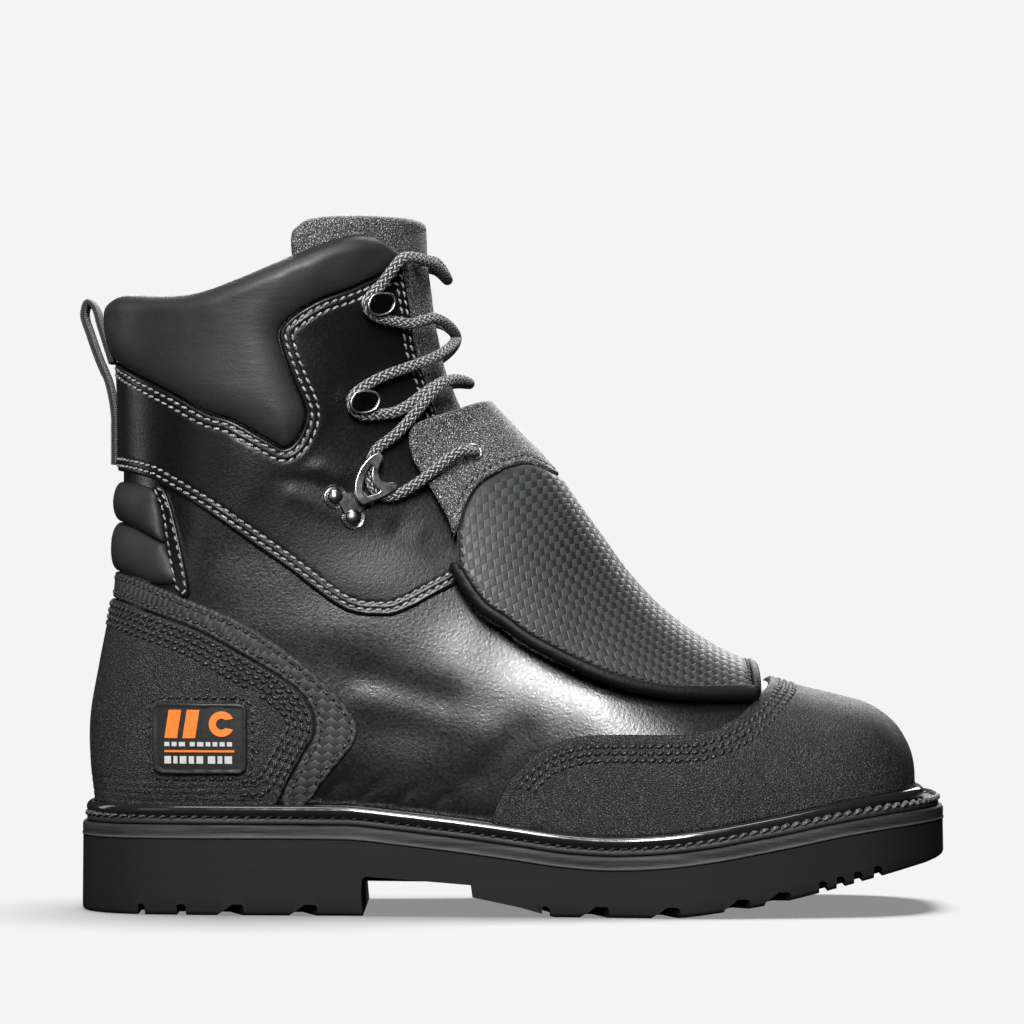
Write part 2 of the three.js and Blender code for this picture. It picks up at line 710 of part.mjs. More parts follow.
const mirrorTurn = ({ t, turn }) => ({ t, turn: -turn });
const quarterLift = gap + overlayThickness;
const laceRadius = laceDiameter / 2;
const hookBase = 1.1;
const laceRise = 2 * gap + hookBase + laceRadius;
const plateRise = laceRise + laceRadius + gap;

function disc(radius, height, base) {
  const geometry = new THREE.CylinderGeometry(radius, radius, height, 8);
  geometry.rotateX(Math.PI / 2);
  geometry.translate(0, 0, base + height / 2);
  return geometry;
}

function placed(geometries, matrix) {
  const parts = geometries.map((geometry) => fromGeometry(geometry.clone().applyMatrix4(matrix)));
  return parts.reduce((sum, part) => sum.add(part));
}

const flat = (points) => points.map(([x, y]) => new THREE.Vector2(x, y));
const plateOf = (shape, depth, base) => {
  const geometry = new THREE.ExtrudeGeometry(shape, { depth, bevelEnabled: false, curveSegments: 6 });
  return geometry.translate(0, 0, base);
};

// Speed hook: a base on the quarter, a neck, and a teardrop plate that stands off it
function hookParts() {
  const plate = flat([[6.6, 0], [4.6, 2.6], [0, 3.9], [-4.2, 3.2], [-6, 0], [-4.2, -3.2], [0, -3.9], [4.6, -2.6]]);
  const neck = new THREE.BoxGeometry(2.6, 1.6, plateRise);
  neck.translate(2.2, 0, plateRise / 2 + gap + 0.3);
  return [disc(4.2, hookBase, gap), neck, plateOf(new THREE.Shape(plate), plateThickness, plateRise)];
}

// Locking hook: two rivets on a forked base, and a curved open triangle that stands over the lace
function lockParts(toLocal, rivets) {
  const rise = plateRise - hookBase;
  const plate = new THREE.Shape(flat([
    [7.9, -2.2], [4.6, 2.2], [3.2, 6], [1.6, 9.2], [-0.6, 9.4], [-4.4, 4.4], [-7.2, -1.6], [-7.4, -5.4],
    [-4.6, -9.2], [-1.6, -6.6], [2.6, -4.4],
  ]));
  plate.holes.push(new THREE.Path(flat([[3, -1.6], [-1.2, 3.6], [-3.4, -2.6]])));
  const parts = [plateOf(plate, plateThickness, rise)];
  const spots = rivets.map((rivet) => rivet.clone().applyMatrix4(toLocal));
  for (const spot of spots) {
    const foot = disc(rivetRadius + 1, 2.2, 2.5 * gap);
    const head = disc(rivetRadius, 1.4, gap + 2.2);
    parts.push(foot.translate(spot.x, spot.y, spot.z), head.translate(spot.x, spot.y, spot.z));
  }
  const [back, low] = spots;
  const web = new THREE.Shape(flat([
    [back.x, back.y], [low.x, low.y], [-4.2, -8.8], [-6.8, -4.4],
  ]));
  parts.push(plateOf(web, rise - 1, 1.4));
  return parts;
}

function makeHardware() {
  const pieces = {};
  const seats = {
    top: seatOf(speedHooks.top, quarterLift),
    mid: seatOf(speedHooks.mid, quarterLift),
    nose: seatOf(lockPlace.nose, quarterLift),
    back: seatOf(lockPlace.backRivet, quarterLift),
    low: seatOf(lockPlace.lowRivet, quarterLift),
    eyelet: seatOf(eyeletPlace, guardStand),
  };
  for (const [suffix, turned] of [['outer', (seat) => seat], ['inner', mirrorTurn]]) {
    for (const name of ['top', 'mid']) {
      pieces[`hook_${name}_${suffix}`] = placed(hookParts(), frameAt(turned(seats[name]), quarterLift));
    }
    const frame = frameAt(turned(seats.nose), quarterLift);
    const rivets = [seats.back, seats.low].map((seat) => skin(turned(seat).t, turned(seat).turn, quarterLift));
    const upright = suffix === 'outer' ? 1 : -1;
    const flip = new THREE.Matrix4().makeScale(1, upright, 1);
    const local = frame.clone().multiply(flip);
    pieces[`lock_hook_${suffix}`] = placed(lockParts(local.clone().invert(), rivets), local);
    const ring = new THREE.LatheGeometry([
      new THREE.Vector2(eyeletBore, 0), new THREE.Vector2(eyeletRadius, 0),
      new THREE.Vector2(eyeletRadius - 0.5, eyeletHeight), new THREE.Vector2(eyeletBore, eyeletHeight),
      new THREE.Vector2(eyeletBore, 0),
    ], 10);
    ring.translate(0, 2 * gap, 0);
    ring.rotateX(Math.PI / 2);
    pieces[`eyelet_${suffix}`] = placed([ring], frameAt(turned(seats.eyelet), guardStand));
  }
  return { pieces, seats };
}

function makeBadge() {
  const [low, high] = badgeCorners.map(place2);
  const outline = [low, new THREE.Vector2(high.x, low.y), high, new THREE.Vector2(low.x, high.y)];
  const lift = overlayThickness + 4 * gap;
  const over = tube(lift + badgeThickness, 10, 20, 16, 40);
  return over.subtract(tube(lift, 10, 20, 16, 40)).intersect(prism(outline, -wide, 0));
}

// Webbing loop: two limbs in the side view, drawn out across the back
function makePullLoop() {
  const hole = new THREE.Path(outlineOf(loopInner));
  const downBack = [];
  for (let k = 0; k <= 5; k += 1) {
    const t = 23.3 - 0.42 * k;
    const p = skin(t, Math.PI, collarPuff * (k < 2 ? 0.5 : 0) + quarterLift + 3 * gap);
    downBack.push(new THREE.Vector2(p.x, p.z));
  }
  const inside = downBack.filter((p) => p.y < up(84) && p.y > up(64.4));
  const outside = inside.map((p) => new THREE.Vector2(p.x - webbingThickness, p.y)).reverse();
  const crown = outlineOf(loopOuter).filter((p) => p.y > up(79));
  const shape = new THREE.Shape([...inside, ...outside.filter((p) => p.y < up(78)), ...crown]);
  shape.holes.push(hole);
  const half = webbingWidth / 2;
  const geometry = new THREE.ExtrudeGeometry(shape, { depth: webbingWidth, bevelEnabled: false });
  geometry.rotateX(Math.PI / 2);
  geometry.translate(0, half, 0);
  return fromGeometry(geometry);
}

// Half of the lace: from an eyelet to the locking hook and on from side to side, hook by hook
function laceRoute(seats, side) {
  const seatAt = (name, outer) => (outer === (side > 0) ? seats[name] : mirrorTurn(seats[name]));
  const route = [];
  const by = (name, outer, lift, places) => {
    const seat = seatAt(name, outer);
    const frame = frameAt(seat, lift);
    const upright = seat.turn > 0 ? 1 : -1;
    for (const [x, y, z] of places) {
      route.push(new THREE.Vector3(x, upright * y, z).applyMatrix4(frame));
    }
  };
  const cross = (t, lift) => route.push(skin(t, 0, lift));
  const overEyelet = 4 * gap + eyeletHeight + laceRadius;
  const lockRise = laceRise - hookBase;
  const lowLeg = (z, drop) => [
    [14, -3.4 - drop, z], [6, -4.6 - 0.4 * drop, z], [0, -4.6, z], [-3.2, -2, z], [-2.8, 2.2, z],
  ];
  by('eyelet', true, guardStand, [[0, 0, overEyelet], [-8, -3.4, overEyelet + 0.4]]);
  by('nose', true, quarterLift, [
    [14, -0.4, lockRise + 3], [6, -4.8, lockRise + 0.4], [1, -4.2, lockRise], [-2, 0, lockRise],
    [-2.2, 5.4, lockRise], [-0.4, 11.4, lockRise], [7.6, 18.3, lockRise + 1.4],
  ]);
  const part = (name, outer, share, dt, lift) => {
    const seat = seatAt(name, outer);
    route.push(skin(seat.t + dt, share * seat.turn, lift));
  };
  const overEdge = quarterLift + laceRise;
  part('nose', true, 0.5, 0.4, overEdge + 1.2);
  cross(seats.mid.t - 2.5, laceRise);
  part('mid', false, 0.5, -1.75, overEdge);
  by('mid', false, quarterLift, [...lowLeg(laceRise, 0), [1.4, 5.6, laceRise], [9.2, 9.4, laceRise]]);
  part('mid', false, 0.5, -1, overEdge);
  cross(seats.mid.t - 1.15, laceRise);
  part('top', true, 0.5, -2.3, overEdge);
  by('top', true, quarterLift, [
    ...lowLeg(laceRise, 4), [1.2, 6.4, laceRise + 0.6], [5.6, 12.2, laceRise + 1.8], [10.5, 16.4, laceRise + 1.4],
  ]);
  part('top', true, 0.5, -0.25, overEdge);
  cross(seats.top.t - 1.5, laceRise);
  part('top', false, 0.3, -0.6, laceRise - 1.6);
  part('top', false, 0.52, -0.1, -0.2);
  return route;
}

function makeLace(seats) {
  const sides = 5;
  const section = new THREE.Shape([...Array(sides).keys()].map((k) => {
    const angle = (2 * Math.PI * k) / sides;
    return new THREE.Vector2(laceRadius * Math.cos(angle), laceRadius * Math.sin(angle));
  }));
  const halves = [1, -1].map((side) => {
    const path = new THREE.CatmullRomCurve3(laceRoute(seats, side), false, 'centripetal');
    return fromGeometry(new THREE.ExtrudeGeometry(section, { steps: 46, bevelEnabled: false, extrudePath: path }));
  });
  return halves[0].add(halves[1]);
}

const finishes = {
  leather: new THREE.MeshStandardMaterial({ color: 0x1b1b1d, roughness: 0.42, metalness: 0 }),
  rough_leather: new THREE.MeshStandardMaterial({ color: 0x222223, roughness: 0.75, metalness: 0 }),
  pad_leather: new THREE.MeshStandardMaterial({ color: 0x2c2d2f, roughness: 0.5, metalness: 0 }),
  weave: new THREE.MeshStandardMaterial({ color: 0x26272a, roughness: 0.5, metalness: 0 }),
  lining: new THREE.MeshStandardMaterial({ color: 0x2a2a2a, roughness: 0.9, metalness: 0 }),
  rubber: new THREE.MeshStandardMaterial({ color: 0x1a1b1c, roughness: 0.65, metalness: 0 }),
  midsole: new THREE.MeshStandardMaterial({ color: 0x2b2d2f, roughness: 0.6, metalness: 0 }),
  gloss: new THREE.MeshStandardMaterial({ color: 0x111112, roughness: 0.2, metalness: 0 }),
  webbing: new THREE.MeshStandardMaterial({ color: 0x1c1c1c, roughness: 0.9, metalness: 0 }),
  metal: new THREE.MeshStandardMaterial({ color: 0x3a3b3d, roughness: 0.25, metalness: 1 }),
  lace: new THREE.MeshStandardMaterial({ color: 0x4a4a4a, roughness: 0.85, metalness: 0 }),
  badge: new THREE.MeshStandardMaterial({ color: 0x141414, roughness: 0.5, metalness: 0 }),
};

function meshOf(name, piece, finish) {
  const { vertProperties, triVerts } = piece.getMesh();
  const geometry = new THREE.BufferGeometry();
  geometry.setAttribute('position', new THREE.BufferAttribute(vertProperties, 3));
  geometry.setIndex(new THREE.BufferAttribute(triVerts, 1));
  geometry.computeVertexNormals();
  const mesh = new THREE.Mesh(geometry, finishes[finish]);
  mesh.name = name;
  return mesh;
}

const boot = new THREE.Group();
const addPiece = (name, piece, finish) => boot.add(meshOf(name, piece, finish));

addPiece('outsole', makeOutsole(), 'rubber');
addPiece('midsole', makeMidsole(), 'midsole');
addPiece('welt', makeWelt(), 'midsole');
addPiece('rand', makeRand(), 'gloss');
addPiece('insole', makeInsole(), 'lining');
addPiece('upper', makeUpper(), 'leather');

const counterPrism = prism(outlineOf(counterLine));
const counterGrown = prism(grow(outlineOf(counterLine), gap));
const trimPrism = prism(outlineOf(trimLine));
const overlay = tube(gap + overlayThickness);
const thinOverlay = tube(gap + trimThickness);
addPiece('heel_counter', sheet(overlay, counterPrism, [belowRand]), 'rough_leather');
addPiece('counter_trim', sheet(thinOverlay, trimPrism, [counterGrown, belowRand]), 'weave');
addPiece('toe_cap', sheet(overlay, prism(outlineOf(toeCapLine)), [belowRand]), 'rough_leather');
addPiece('collar', makeCollar(), 'pad_leather');
for (const [name, piece] of Object.entries(makeQuarters())) addPiece(name, piece, 'leather');
const trimGrown = prism(grow(outlineOf(trimLine), gap));
for (const [name, piece] of Object.entries(makeAnklePads(trimGrown))) addPiece(name, piece, 'pad_leather');
const foldPrism = prism(outlineOf(foldLine));
const foldPiece = sheet(thinOverlay, foldPrism);
for (const [suffix, from, to] of [['outer', -wide, 0], ['inner', 0, wide]]) {
  const half = box([0, (from + to) / 2, 120], [400, wide, 300]);
  addPiece(`vamp_fold_${suffix}`, foldPiece.intersect(half), 'leather');
}
addPiece('tongue', makeTongue(), 'rough_leather');
const guardPieces = makeGuard();
const { pieces: hardware, seats } = makeHardware();
addPiece('guard_shield', guardPieces.guard_shield, 'weave');
addPiece('guard_rim', guardPieces.guard_rim, 'leather');
addPiece('guard_tab', guardPieces.guard_tab, 'rough_leather');
addPiece('badge', makeBadge(), 'badge');
addPiece('pull_loop', makePullLoop(), 'webbing');
for (const [name, piece] of Object.entries(hardware)) addPiece(name, piece, 'metal');
addPiece('lace', makeLace(seats), 'lace');

export default boot;
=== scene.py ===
"""Looks of the metatarsal guard work boot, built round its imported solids.

Lengths are millimetres until a mesh is made. A place on the boot is a section number and a turn round
the foot, as in the part's own surface: turn 0 is the front, and it runs by the outer side to the back.
"""

import math

import bpy
import numpy as np
from mathutils import Matrix


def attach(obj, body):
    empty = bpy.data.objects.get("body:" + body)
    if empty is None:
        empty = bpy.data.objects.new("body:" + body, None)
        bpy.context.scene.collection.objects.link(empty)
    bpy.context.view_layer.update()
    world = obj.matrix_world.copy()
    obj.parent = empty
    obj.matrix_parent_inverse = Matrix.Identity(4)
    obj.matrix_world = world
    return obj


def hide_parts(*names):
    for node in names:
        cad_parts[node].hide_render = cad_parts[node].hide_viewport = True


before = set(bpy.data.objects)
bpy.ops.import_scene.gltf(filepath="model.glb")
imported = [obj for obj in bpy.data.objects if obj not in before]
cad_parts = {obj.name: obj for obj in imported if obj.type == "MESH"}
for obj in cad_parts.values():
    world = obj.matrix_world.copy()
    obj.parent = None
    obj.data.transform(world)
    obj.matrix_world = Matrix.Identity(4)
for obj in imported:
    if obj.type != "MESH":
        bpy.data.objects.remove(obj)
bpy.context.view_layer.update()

MM = 0.001
PI = math.pi

# Driving sizes, the same as the part's
SOLE_LENGTH = 318.0
BOOT_HEIGHT = 253.0
BALL_WIDTH = 103.0
HEEL_LENGTH = 105.0
SOLE_HEIGHT = 32.5
MIDSOLE = 5.0
TOE_SPRING = 21.0
TOE_SWING = 6.0
WALL = 2.4
OVERLAY = 1.9
TRIM = 1.4
GAP = 0.3
WELT = 2.4
WELT_INSET = 1.0
RAND_RADIUS = 2.2
COLLAR_PUFF = 5.2
ANKLE_PUFF = 3.6
TONGUE_PAD = 5.5
SHIELD = 4.5
TAB = 2.4
RIM_STEP = 0.9
RIM_WIDTH = 4.0
WEBBING_WIDTH = 22.0
WEBBING = 2.2
LACE = 4.0
EYELET_RADIUS = 3.4
EYELET_BORE = 2.1
EYELET_HEIGHT = 1.1
PLATE = 1.4
RIVET = 3.2
BADGE = 1.6
LUG_DEPTH = 4.0
LUG_REACH = 17.0
WAIST_PLATE = 44.0
INNER_GROOVE = (17.0, 4.0)
HEEL_BACK = -(HEEL_LENGTH - 1) / 2

# Camera: level, at the photograph's distance and height
CAMERA_PLACE = (0.10626, -1.8, 0.1456)
VIEW_WIDTH = 0.37775

SECTIONS = np.array([
    # front x, front z, back x, back z, outer, inner, belly, round top, round low
    [95.7, 19.4, 95.7, 18.6, 1.0, 1.0, 0.50, 2.2, 2.2],
    [95.6, 21.5, 95.6, 14.4, 13.5, 13.5, 0.55, 2.3, 3.0],
    [94.9, 23.9, 94.9, 11.4, 23.5, 23.5, 0.58, 2.4, 4.0],
    [93.4, 26.6, 93.4, 10.4, 31.5, 32.0, 0.60, 2.5, 5.0],
    [90.9, 28.8, 90.9, 9.6, 38.0, 38.5, 0.60, 2.6, 5.0],
    [87.4, 30.1, 87.4, 8.4, 43.0, 43.5, 0.60, 2.6, 5.0],
    [82.4, 31.7, 82.7, 7.1, 46.5, 47.0, 0.62, 2.5, 5.0],
    [76.1, 34.2, 77.0, 6.2, 49.0, 48.5, 0.64, 2.4, 5.0],
    [71.5, 36.6, 71.7, 5.6, 50.5, 48.5, 0.66, 2.3, 5.0],
    [66.2, 40.7, 66.0, 5.4, 50.0, 47.0, 0.66, 2.2, 5.0],
    [61.3, 45.5, 59.7, 5.5, 48.0, 43.5, 0.64, 2.1, 5.0],
    [56.9, 50.8, 52.5, 5.9, 44.5, 39.5, 0.62, 2.0, 5.0],
    [53.1, 56.1, 44.0, 6.7, 41.5, 36.5, 0.60, 2.0, 5.0],
    [50.0, 61.9, 34.6, 7.7, 40.0, 36.0, 0.58, 2.0, 4.8],
    [47.2, 67.6, 24.2, 8.6, 39.5, 37.0, 0.55, 2.0, 4.4],
    [44.8, 72.7, 12.0, 9.0, 39.5, 38.0, 0.52, 2.0, 3.8],
    [43.1, 77.9, 3.6, 10.6, 39.5, 38.5, 0.50, 2.1, 3.0],
    [42.1, 83.0, 2.0, 17.5, 39.5, 39.0, 0.50, 2.1, 2.6],
    [41.5, 87.4, 1.6, 26.5, 40.0, 39.5, 0.50, 2.1, 2.4],
    [41.1, 91.3, 2.6, 35.2, 41.0, 40.5, 0.50, 2.1, 2.3],
    [40.8, 94.9, 4.1, 45.5, 42.0, 41.5, 0.50, 2.1, 2.2],
    [40.7, 98.0, 4.7, 57.3, 43.0, 42.5, 0.50, 2.1, 2.2],
    [40.6, 101.2, 4.8, 71.1, 44.0, 44.0, 0.50, 2.1, 2.2],
    [40.6, 104.3, 4.3, 83.8, 45.5, 45.5, 0.50, 2.1, 2.2],
    [40.6, 107.5, 4.4, 94.9, 46.5, 46.5, 0.50, 2.1, 2.2],
])
LAST = len(SECTIONS) - 1.0

# Two column tables: share of the sole length, value
SOLE_TOP = np.array([
    [-6, 1.0], [31, 1.0], [38, 0.93], [44, 0.86], [50, 0.78], [56, 0.70], [62, 0.675],
    [70, 0.735], [80, 0.90], [89, 1.07], [97, 1.165], [106, 1.2],
])
TREAD = np.array([
    [0, 0], [68, 0], [73, 0.09], [79, 0.23], [85, 0.44], [91, 0.67], [97, 0.88], [101, 1.0],
])
REACH = np.array([
    [0, 7.6], [10, 6.8], [30, 5.4], [50, 5.8], [70, 6.4], [85, 8.0], [94, 12.0], [100, 13.4],
])
# Section, stand of the guard off the vamp
GUARD_STAND = np.array([
    [5, 4.2], [6, 4.6], [7, 5.2], [8, 6.2], [9, 7.6], [10, 10.2], [11, 13.4], [12, 15.2],
    [13, 14.6], [14, 11.0], [15, 8.2], [16, 7.6], [18, 7.4],
])

# Side view outlines: share of the sole length, share of the boot height
THROAT = [
    (36.7, 94.9), (37.8, 87), (38.4, 81.5), (39.5, 77.1), (42.1, 67.9), (45, 62.1), (48.4, 57.8),
    (52.5, 54.5),
]
COLLAR_TOP = [
    (-3, 88), (3.7, 88.4), (5.6, 88.8), (10.2, 88.4), (14.2, 88.8), (18.7, 90.7), (23.3, 93.1), (29, 96),
    (33, 97), (36.8, 94.8), (48, 84),
]
PAD = [
    (-3, 81), (3.1, 80.3), (6.5, 77.9), (11.7, 74.4), (15.4, 71.8), (18.2, 70.7), (22.3, 67.8), (24, 66.8),
    (25.4, 68.4), (26.2, 71.8), (24.8, 76.5), (23.7, 80.5), (23.4, 83.3), (24.8, 85.5), (27.9, 87.9),
    (31.4, 89.6), (37.1, 93.2), (48, 100),
]
QUARTER = [
    (-3, 64.6), (5, 63.4), (8.4, 62.5), (10.3, 61.4), (15.7, 57.1), (20.6, 52.7), (24.4, 49.3),
    (29.2, 44.7),
    (31.7, 43.1), (34.1, 42.7), (37.1, 43.1), (43.3, 47), (49, 49.5), (56, 51),
]
ANKLE_PAD = [(-3, 63.2), (8.1, 61.2), (9.6, 58.3), (10.3, 53), (11.1, 47.2), (-3, 50)]
ANKLE_SEAM = [(-3, 57.4), (5.1, 56.1), (10.5, 53), (14, 52)]
FOLD = [(8.7, 61.4), (10.5, 60.6), (12.2, 53.4), (13.2, 45.6), (11.6, 46.6), (10.7, 53), (10, 58.3)]
TRIM_LINE = [
    (-3, 49.8), (4.4, 48.9), (9.4, 46.9), (14.2, 44.4), (19.4, 41.6), (24.6, 37.3), (28.4, 33.3),
    (31.1, 29.7),
    (32.3, 26.5), (31.5, 23.9), (29.7, 21.2), (26.6, 15.6), (25, 8), (-3, 8),
]
COUNTER = [
    (-3, 46.2), (4, 45), (9, 43), (14.2, 40.6), (19.4, 37), (23.3, 34.1), (25.9, 31.5), (27.1, 28.8),
    (27.3, 25.9), (25.9, 22.7), (23.5, 16.7), (22, 8), (-3, 8),
]
TOE_CAP = [
    (45.5, 6), (47.2, 12.8), (48.6, 17.4), (50.7, 21.1), (53.3, 23.9), (57.3, 25.6), (61.6, 25.9),
    (68.8, 25.8), (71.7, 26.2), (74.6, 27.6), (76.9, 29.7), (78.6, 31.6), (79.5, 33.4), (79.1, 38),
    (104, 38), (104, 6),
]
GUARD_TAB = [
    (55, 74.5), (47.5, 73.9), (45.9, 73.5), (44.2, 72.7), (39.5, 70.6), (38.3, 68.9), (38.6, 65.4),
    (40.5, 61.3),
    (42.8, 56), (43.2, 51), (62, 51), (62, 70),
]
GUARD_SEAM = [
    (60, 61.5), (55.6, 62.8), (51.4, 64.7), (46.6, 62.1), (44.6, 58.6), (43.6, 55), (41, 50.4), (30, 46),
]
GUARD_LINE = [
    (43.2, 48.6), (45.8, 43.9), (48.6, 41.4), (51.5, 38.8), (57.3, 35.1), (61.6, 33), (65.9, 31.8),
    (70.2, 31.3), (77.8, 31.3), (78.4, 33), (78.2, 42), (70, 75), (42.4, 75), (42.6, 52),
]
RIM_TOP = 50.4
TONGUE = [
    (24.7, 95.8), (25.6, 98.4), (27.9, 99.6), (34, 100), (39.3, 99.8), (40.3, 98.4), (46, 97),
    (60, 60), (60, 47),
    (47, 50), (36, 58), (29.5, 72), (26, 86),
]
# Middle line of the webbing loop over the collar's back
LOOP = [
    (3.1, 76.2), (1.9, 80.0), (0.95, 83.4), (0.25, 86.4), (0.7, 88.1), (1.5, 87.2), (2.1, 84.8),
    (2.9, 81.6),
    (3.5, 79.2),
]

SPEED_HOOKS = {"top": (33.8, 87.3), "mid": (32.2, 73.3)}
LOCK_NOSE = (34.2, 61.6)
LOCK_RIVETS = [(29.7, 59.7), (31.7, 56.8)]
EYELET_PLACE = (45.3, 66)
BADGE_CORNERS = [(9.3, 30.4), (19.8, 20.3)]

# Grooves between the edge lugs: share of the sole length, width, slant
GROOVES = [
    (7.6, 2.6, 0), (12.2, 3.4, 0), (17.9, 9, 0.35), (26.2, 9.5, 0.35), (53.6, 2.8, 0), (59.2, 9.5, 0.35),
    (67.2, 9.5, 0.35), (75.2, 9.5, 0.35), (79.8, 9.5, 0.35), (84.9, 3, 0), (86.9, 3, 0),
    (88.9, 3, 0), (91.2, 3, 0),
]
INNER_GROOVES = [(6, 30), (56, 70)]


def along(share):
    return HEEL_BACK + np.asarray(share) * SOLE_LENGTH / 100


def up(share):
    return np.asarray(share) * BOOT_HEIGHT / 100


def across(share):
    return share * BALL_WIDTH / 100


def share_along(x):
    return (x - HEEL_BACK) * 100 / SOLE_LENGTH


def side_view(line):
    """Points of a side view line in millimetres."""
    line = np.asarray(line, float)
    return np.stack([along(line[:, 0]), up(line[:, 1])], axis=1)


# The surface of the last

def catmull(rows, at):
    """Smooth value of every column of a table at places between its rows."""
    count = len(rows)
    i = np.clip(np.floor(at).astype(int), 0, count - 2)
    f = (at - i)[..., None]
    a = rows[np.clip(i - 1, 0, count - 1)]
    b = rows[i]
    c = rows[i + 1]
    d = rows[np.clip(i + 2, 0, count - 1)]
    return b + 0.5 * f * (c - a + f * (2 * a - 5 * b + 4 * c - d + f * (3 * (b - c) + d - a)))


def look_up(table, at):
    """Value of a two column table at a place given by its first column."""
    keys = table[:, 0]
    at = np.clip(np.asarray(at, float), keys[0], keys[-1])
    i = np.clip(np.searchsorted(keys, at, side="right") - 1, 0, len(keys) - 2)
    f = (at - keys[i]) / (keys[i + 1] - keys[i])
    return catmull(table[:, 1:], i + f)[..., 0]


def sole_top(x):
    return SOLE_HEIGHT * look_up(SOLE_TOP, share_along(x))


def tread(x):
    return TOE_SPRING * np.maximum(look_up(TREAD, share_along(x)), 0)


def reach(x):
    return across(look_up(REACH, share_along(x)))


def welt_top(x):
    return sole_top(x) + GAP + WELT


def rand_top(x):
    return welt_top(x) + GAP + 2 * RAND_RADIUS


def centre(x):
    share = np.clip((share_along(x) - 40) / 60, 0, 1)
    return TOE_SWING * share * share * (3 - 2 * share)


def last_point(t, turn):
    t, turn = np.broadcast_arrays(np.asarray(t, float), np.asarray(turn, float))
    row = catmull(SECTIONS, np.clip(t, 0, LAST))
    c = np.cos(turn)
    sine = np.sin(turn)
    s = np.abs(sine)
    power = np.where(c > 0, row[..., 7], row[..., 8])
    r = (np.abs(c) ** power + s ** power) ** (-1 / power)
    belly = row[..., 6]
    share = np.where(c > 0, belly * (1 - c * r), belly - (1 - belly) * c * r)
    x = along(row[..., 0] + (row[..., 2] - row[..., 0]) * share)
    z = up(row[..., 1] + (row[..., 3] - row[..., 1]) * share)
    width = across(np.where(sine >= 0, row[..., 4], row[..., 5])) * s * r
    y = centre(x) + np.where(sine >= 0, -width, width)
    return np.stack([x, y, z], axis=-1)


def unit(vectors):
    size = np.linalg.norm(vectors, axis=-1, keepdims=True)
    return vectors / np.maximum(size, 1e-12)


def last_normal(t, turn, step=0.02):
    t = np.asarray(t, float)
    forward = last_point(np.minimum(t + step, LAST), turn)
    behind = last_point(np.maximum(t - step, 0), turn)
    later = last_point(t, turn + step)
    sooner = last_point(t, turn - step)
    return unit(np.cross(forward - behind, later - sooner))


def skin(t, turn, lift):
    return last_point(t, turn) + last_normal(t, turn) * np.asarray(lift)[..., None]


def guard_stand(t, turn):
    side = (1 - np.cos(turn)) / 2
    return across(look_up(GUARD_STAND, t)) * (1 - 0.45 * side) + 2 * side


# Curves

def running_length(points):
    """Length along a line up to each of its points."""
    return np.concatenate([[0], np.cumsum(np.linalg.norm(np.diff(points, axis=0), axis=1))])


def with_ends(points):
    """The points, and one more at each end, straight on from the last two."""
    return np.concatenate([2 * points[:1] - points[1:2], points, 2 * points[-1:] - points[-2:-1]])


def smooth_curve(points, closed=False, steps=8):
    """Catmull-Rom curve through the points."""
    points = np.asarray(points, float)
    if closed:
        rows = np.concatenate([points[-1:], points, points[:2]])
        at = 1 + np.arange(len(points) * steps) / steps
    else:
        rows = with_ends(points)
        at = 1 + np.arange((len(points) - 1) * steps + 1) / steps
    return catmull(rows, at)


def centripetal(points, steps):
    """Centripetal Catmull-Rom curve through the points of a cord."""
    points = np.asarray(points, float)
    full = with_ends(points)
    found = []
    for i in range(1, len(full) - 2):
        p0, p1, p2, p3 = full[i - 1:i + 3]
        gaps = [max(np.linalg.norm(b - a) ** 0.5, 1e-4) for a, b in ((p0, p1), (p1, p2), (p2, p3))]
        k0, k1, k2, k3 = np.cumsum([0] + gaps)
        s = np.linspace(k1, k2, steps, endpoint=False)[:, None]

        def blend(a, b, low, high):
            return (high - s) / (high - low) * a + (s - low) / (high - low) * b

        a1 = blend(p0, p1, k0, k1)
        a2 = blend(p1, p2, k1, k2)
        a3 = blend(p2, p3, k2, k3)
        found.append(blend(blend(a1, a2, k0, k2), blend(a2, a3, k1, k3), k1, k2))
    found.append(points[-1:])
    return np.concatenate(found)


def resample(points, step=None, count=None):
    """Points at even steps along a line."""
    lengths = running_length(points)
    count = count or max(int(round(lengths[-1] / step)), 2)
    wanted = np.linspace(0, lengths[-1], count + 1)
    return np.stack([np.interp(wanted, lengths, points[:, k]) for k in range(points.shape[1])], axis=1)


def above(line, top):
    """Closed outline of everything above a side view line."""
    points = side_view(line)
    curve = smooth_curve(points)
    return np.concatenate([curve, [[points[-1, 0], up(top)], [points[0, 0], up(top)]]])


def closed(line, sharp=()):
    """Closed smooth outline. The corners named in sharp stay sharp."""
    points = side_view(line)
    if not sharp:
        return smooth_curve(points, closed=True)
    corners = sorted(sharp)
    runs = []
    for a, b in zip(corners, corners[1:] + [corners[0] + len(points)]):
        run = points[[k % len(points) for k in range(a, b + 1)]]
        runs.append(smooth_curve(run)[:-1])
    return np.concatenate(runs)


def throat_outline():
    points = smooth_curve(side_view(THROAT))
    tail = side_view([(62, 54.5), (62, 112), (36.7, 112)])
    return np.concatenate([points, tail])


# Signed distances in the side view, positive inside

POINTS_AT_ONCE = 20000


